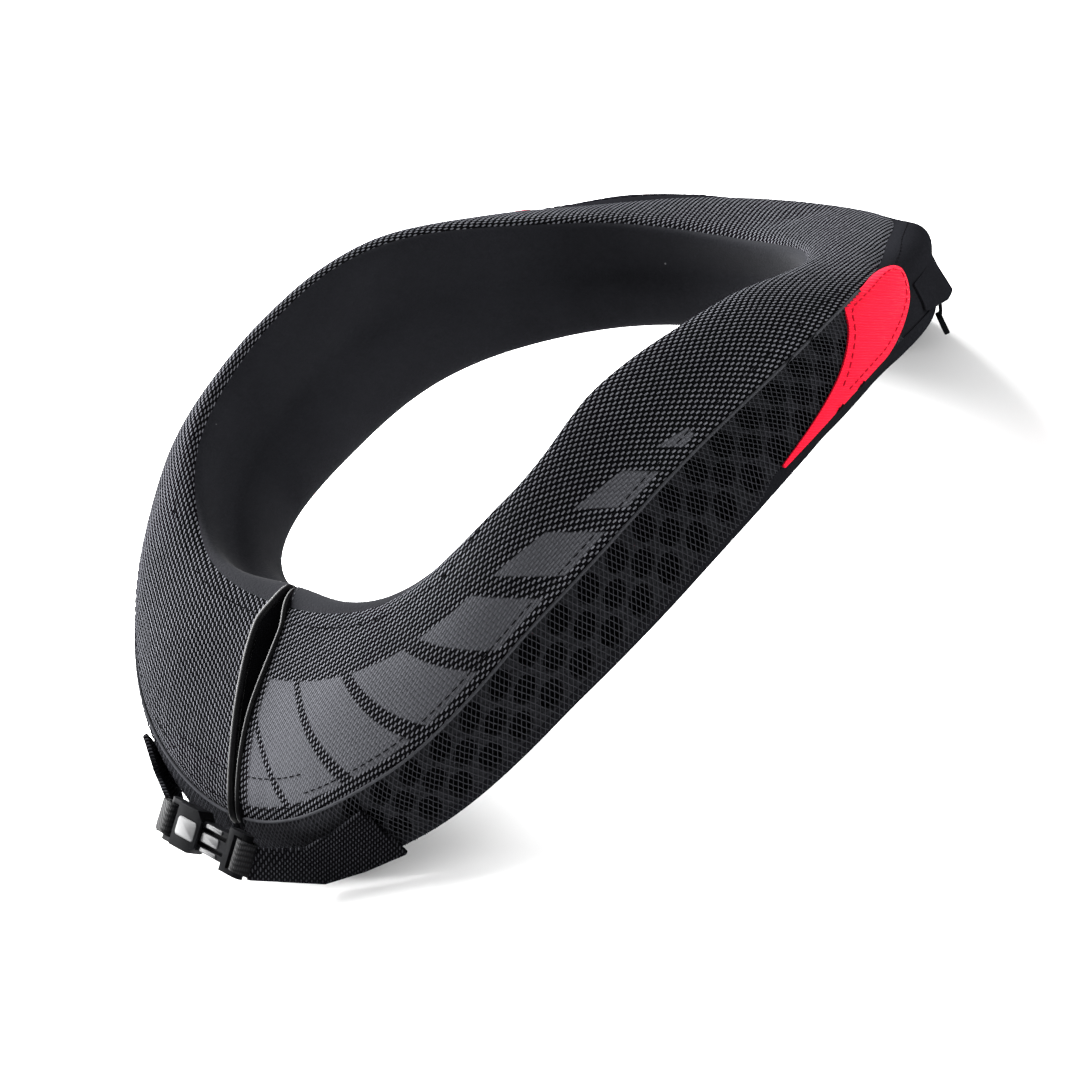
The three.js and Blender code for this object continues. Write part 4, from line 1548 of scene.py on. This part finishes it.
@dataclass
class FoamRing:
    """The foam ring inside, seen only through the pads' holes, coloured far darker than the pads' foam as painted shade
    deep in the holes.
    """

    voxel: float = 4.0

    def dress(self) -> None:
        """Rounds a copy of the ring and hands it over."""
        piece = Bench.copy("foam_core", "foam_ring")
        Bench.finish(piece, "REMESH", mode="VOXEL", voxel_size=self.voxel * MM)
        Bench.finish(piece, "SMOOTH", factor=0.5, iterations=3)
        Bench.smooth(piece, 80)
        # The ring's foam is a much darker copy of the pads' foam: painted shade at the bottom of the pads' holes.
        Bench.hand_over(piece, Foam("ring_foam_painted_shade", (0.0016, 0.0017, 0.002)).material(), "foam", "foam_core")


@dataclass
class Skin:
    """The finished surface of a cloth piece, for laying stitches on."""

    piece: bpy.types.Object

    def __post_init__(self) -> None:
        """Keeps the surface as a search tree."""
        self.tree = Bench.tree(self.piece)

    def lay(self, line: Iterable[Vector], lift: float) -> list[Vector]:
        """The line's points on the cloth, lifted out of it by so many millimetres."""
        laid = []
        for point in line:
            place, normal, _, _ = self.tree.find_nearest(point)
            laid.append(place + normal * lift * MM)
        return laid


@dataclass
class SeamWork:
    """Topstitching and folded edges along the seams."""

    top: bpy.types.Object
    liner: bpy.types.Object
    back: bpy.types.Object
    reach: float = 1.5
    lift: float = 0.05

    def dress(self) -> None:
        """Sews every visible seam."""
        dark = Thread("dark_thread", (0.006, 0.006, 0.007)).material()
        pale = Thread("grey_thread", (0.12, 0.12, 0.132)).material()
        edge = Thread("folded_edge", (0.045, 0.046, 0.051)).material()
        top, liner, back = Skin(self.top), Skin(self.liner), Skin(self.back)
        below = []
        for side in Side:
            below.append(self._run(side, 2, 58, lambda s: s.moved(s.liner_top, 4.6)))
            below.append(self._run(side, 1.5, 15, lambda s: s.moved(s.top_edge, -8.0)))
            below.append(self._run(side, 1.5, 15, lambda s: s.moved(s.top_edge, -2.6)))
            below.append(self._run(side, 15, 130, lambda s: s.moved(s.top_edge, -4.6)))
        Stitches("top_stitches", radius=0.22).sew([top.lay(line, self.lift) for line in below], dark, "woven")
        rims = [self._rise(side, 1.0, lambda s: s.moved(s.liner_top, -9.0), lambda s: s.liner_top) for side in Side]
        Stitches("lip_stitches", long=0.8, gap=0.9, radius=0.18).sew(
            [liner.lay(line, self.lift) for line in rims], pale, "liner")
        seams = [self._run(side, 138, 162, lambda s: s.moved(s.top_edge, 5.0)) for side in Side]
        Stitches("back_stitches", radius=0.2).sew([back.lay(line, self.lift) for line in seams], dark, "plain_cloth")
        for side in Side:
            line = [FORM.on(turn, side, FORM.section(turn).top_edge, -0.55, 1.0) for turn in self._turns(0.6, 131)]
            Bench.hand_over(Rope(f"folded_edge_{side.word}", 0.5, 8).build(line), edge, "woven")

    @staticmethod
    def _turns(start: float, stop: float) -> list[float]:
        """Close turns from one to another."""
        count = max(2, int((stop - start) / 0.8))
        return [round(start + (stop - start) * i / count, 3) for i in range(count + 1)]

    def _run(self, side: Side, start: float, stop: float, place: Callable[[Section], float]) -> list[Vector]:
        """A line of points round one side, at a place on each section."""
        return [FORM.on(turn, side, place(FORM.section(turn)), self.reach) for turn in self._turns(start, stop)]

    def _rise(self, side: Side, turn: float, start: Callable[[Section], float],
              stop: Callable[[Section], float]) -> list[Vector]:
        """A line of points along one section, from a place to another."""
        section = FORM.section(turn)
        low, high = start(section), stop(section)
        return [FORM.on(turn, side, low + (high - low) * i / 12, self.reach) for i in range(13)]


@dataclass
class Studio:
    """Pale floor, soft light and the photograph's camera."""

    azimuth: float = 62.3
    elevation: float = 27.6
    roll: float = -27.9
    distance: float = 1330.0
    pivot: float = 47.5
    lens: float = 141.98
    offset: Pair = (0.0442, -0.0546)
    key_power: float = 440.0
    gloss_power: float = 6.0
    rear_power: float = 22.0
    sky: float = 0.8

    def camera(self) -> None:
        """Sets the camera where the photograph was taken from."""
        a, e, r = (math.radians(x) for x in (self.azimuth, self.elevation, self.roll))
        right = Vector((math.cos(a), math.sin(a), 0))
        up = Vector((-math.sin(a) * math.sin(e), math.cos(a) * math.sin(e), math.cos(e)))
        back = Vector((math.sin(a) * math.cos(e), -math.cos(a) * math.cos(e), math.sin(e)))
        across = right * math.cos(r) + up * math.sin(r)
        upward = up * math.cos(r) - right * math.sin(r)
        data = bpy.data.cameras.new("photo_camera")
        data.lens, data.sensor_width = self.lens, 36.0
        data.shift_x, data.shift_y = self.offset
        data.clip_start, data.clip_end = 0.05, 60.0
        camera = bpy.data.objects.new("photo_camera", data)
        place = Vector((0, FORM.shift, self.pivot)) * MM + back * self.distance * MM
        turn = Matrix((across, upward, back)).transposed().to_4x4()
        camera.matrix_world = Matrix.Translation(place) @ turn
        bpy.context.scene.collection.objects.link(camera)
        bpy.context.scene.camera = camera

    def floor(self) -> None:
        """Lays a wide pale floor with a softly uneven tone."""
        Bench.clear()
        bpy.ops.mesh.primitive_plane_add(size=30, location=(0, 0, -0.0004))
        floor = bpy.context.object
        floor.name = "studio_floor"
        shade = Shade("pale_floor")
        tone = shade.grain(shade.object_place(), 3.0)
        shade.set(Base_Color=shade.mix(tone, (0.9, 0.9, 0.9), (0.93, 0.93, 0.93)), Roughness=0.9)
        shade.set(Specular_IOR_Level=0.0)
        floor.data.materials.append(shade.material)

    def lamp(self, name: str, place: Sequence[float], size: float, power: float) -> None:
        """Hangs one soft square lamp that looks at the collar."""
        data = bpy.data.lights.new(name, "AREA")
        data.shape, data.size, data.energy = "SQUARE", size, power
        lamp = bpy.data.objects.new(name, data)
        lamp.location = Vector(place)
        lamp.rotation_euler = (Vector((0, 0, 0.05)) - lamp.location).to_track_quat("-Z", "Y").to_euler()
        bpy.context.scene.collection.objects.link(lamp)

    def light(self) -> None:
        """Lights the collar softly, most from the far left."""
        world = bpy.data.worlds.new("studio")
        world.use_nodes = True
        background = world.node_tree.nodes["Background"]
        background.inputs["Color"].default_value = (1, 1, 1, 1)
        background.inputs["Strength"].default_value = self.sky
        bpy.context.scene.world = world
        self.lamp("key_lamp", (-1.55, 0.0, 0.55), 1.9, self.key_power)
        self.lamp("rear_lamp", (1.2, 1.1, 0.35), 0.7, self.rear_power)
        self.lamp("gloss_lamp", (-0.75, -0.7, 0.2), 0.35, self.gloss_power)
        bpy.context.scene.view_settings.view_transform = "Standard"


def main() -> None:
    """Builds every piece of the collar in order, then the studio."""
    logging.basicConfig(level=logging.INFO, format="%(name)s %(message)s")
    noise.seed_set(SEED)
    studio = Studio()
    studio.camera()
    cloth = Knit("smooth_cloth", (0.0062, 0.0064, 0.0076), roughness=0.75, sheen=0.0).material()
    FoamRing().dress()
    top = TopPanel("woven_top", across=22).dress()
    liner = NeckLiner("soft_liner", across=22).dress()
    Underside("underside_cloth", across=16, dip=0.5).dress(cloth)
    back = BackPanel("back_cloth", from_turn=131.0, steps=32, across=12).dress(cloth)
    VentPads().dress()
    SideTags().dress()
    BackFlap().dress(cloth)
    Slit().dress()
    Fastening().dress()
    SeamWork(top, liner, back).dress()
    studio.floor()
    studio.light()


if __name__ == "__main__":
    main()
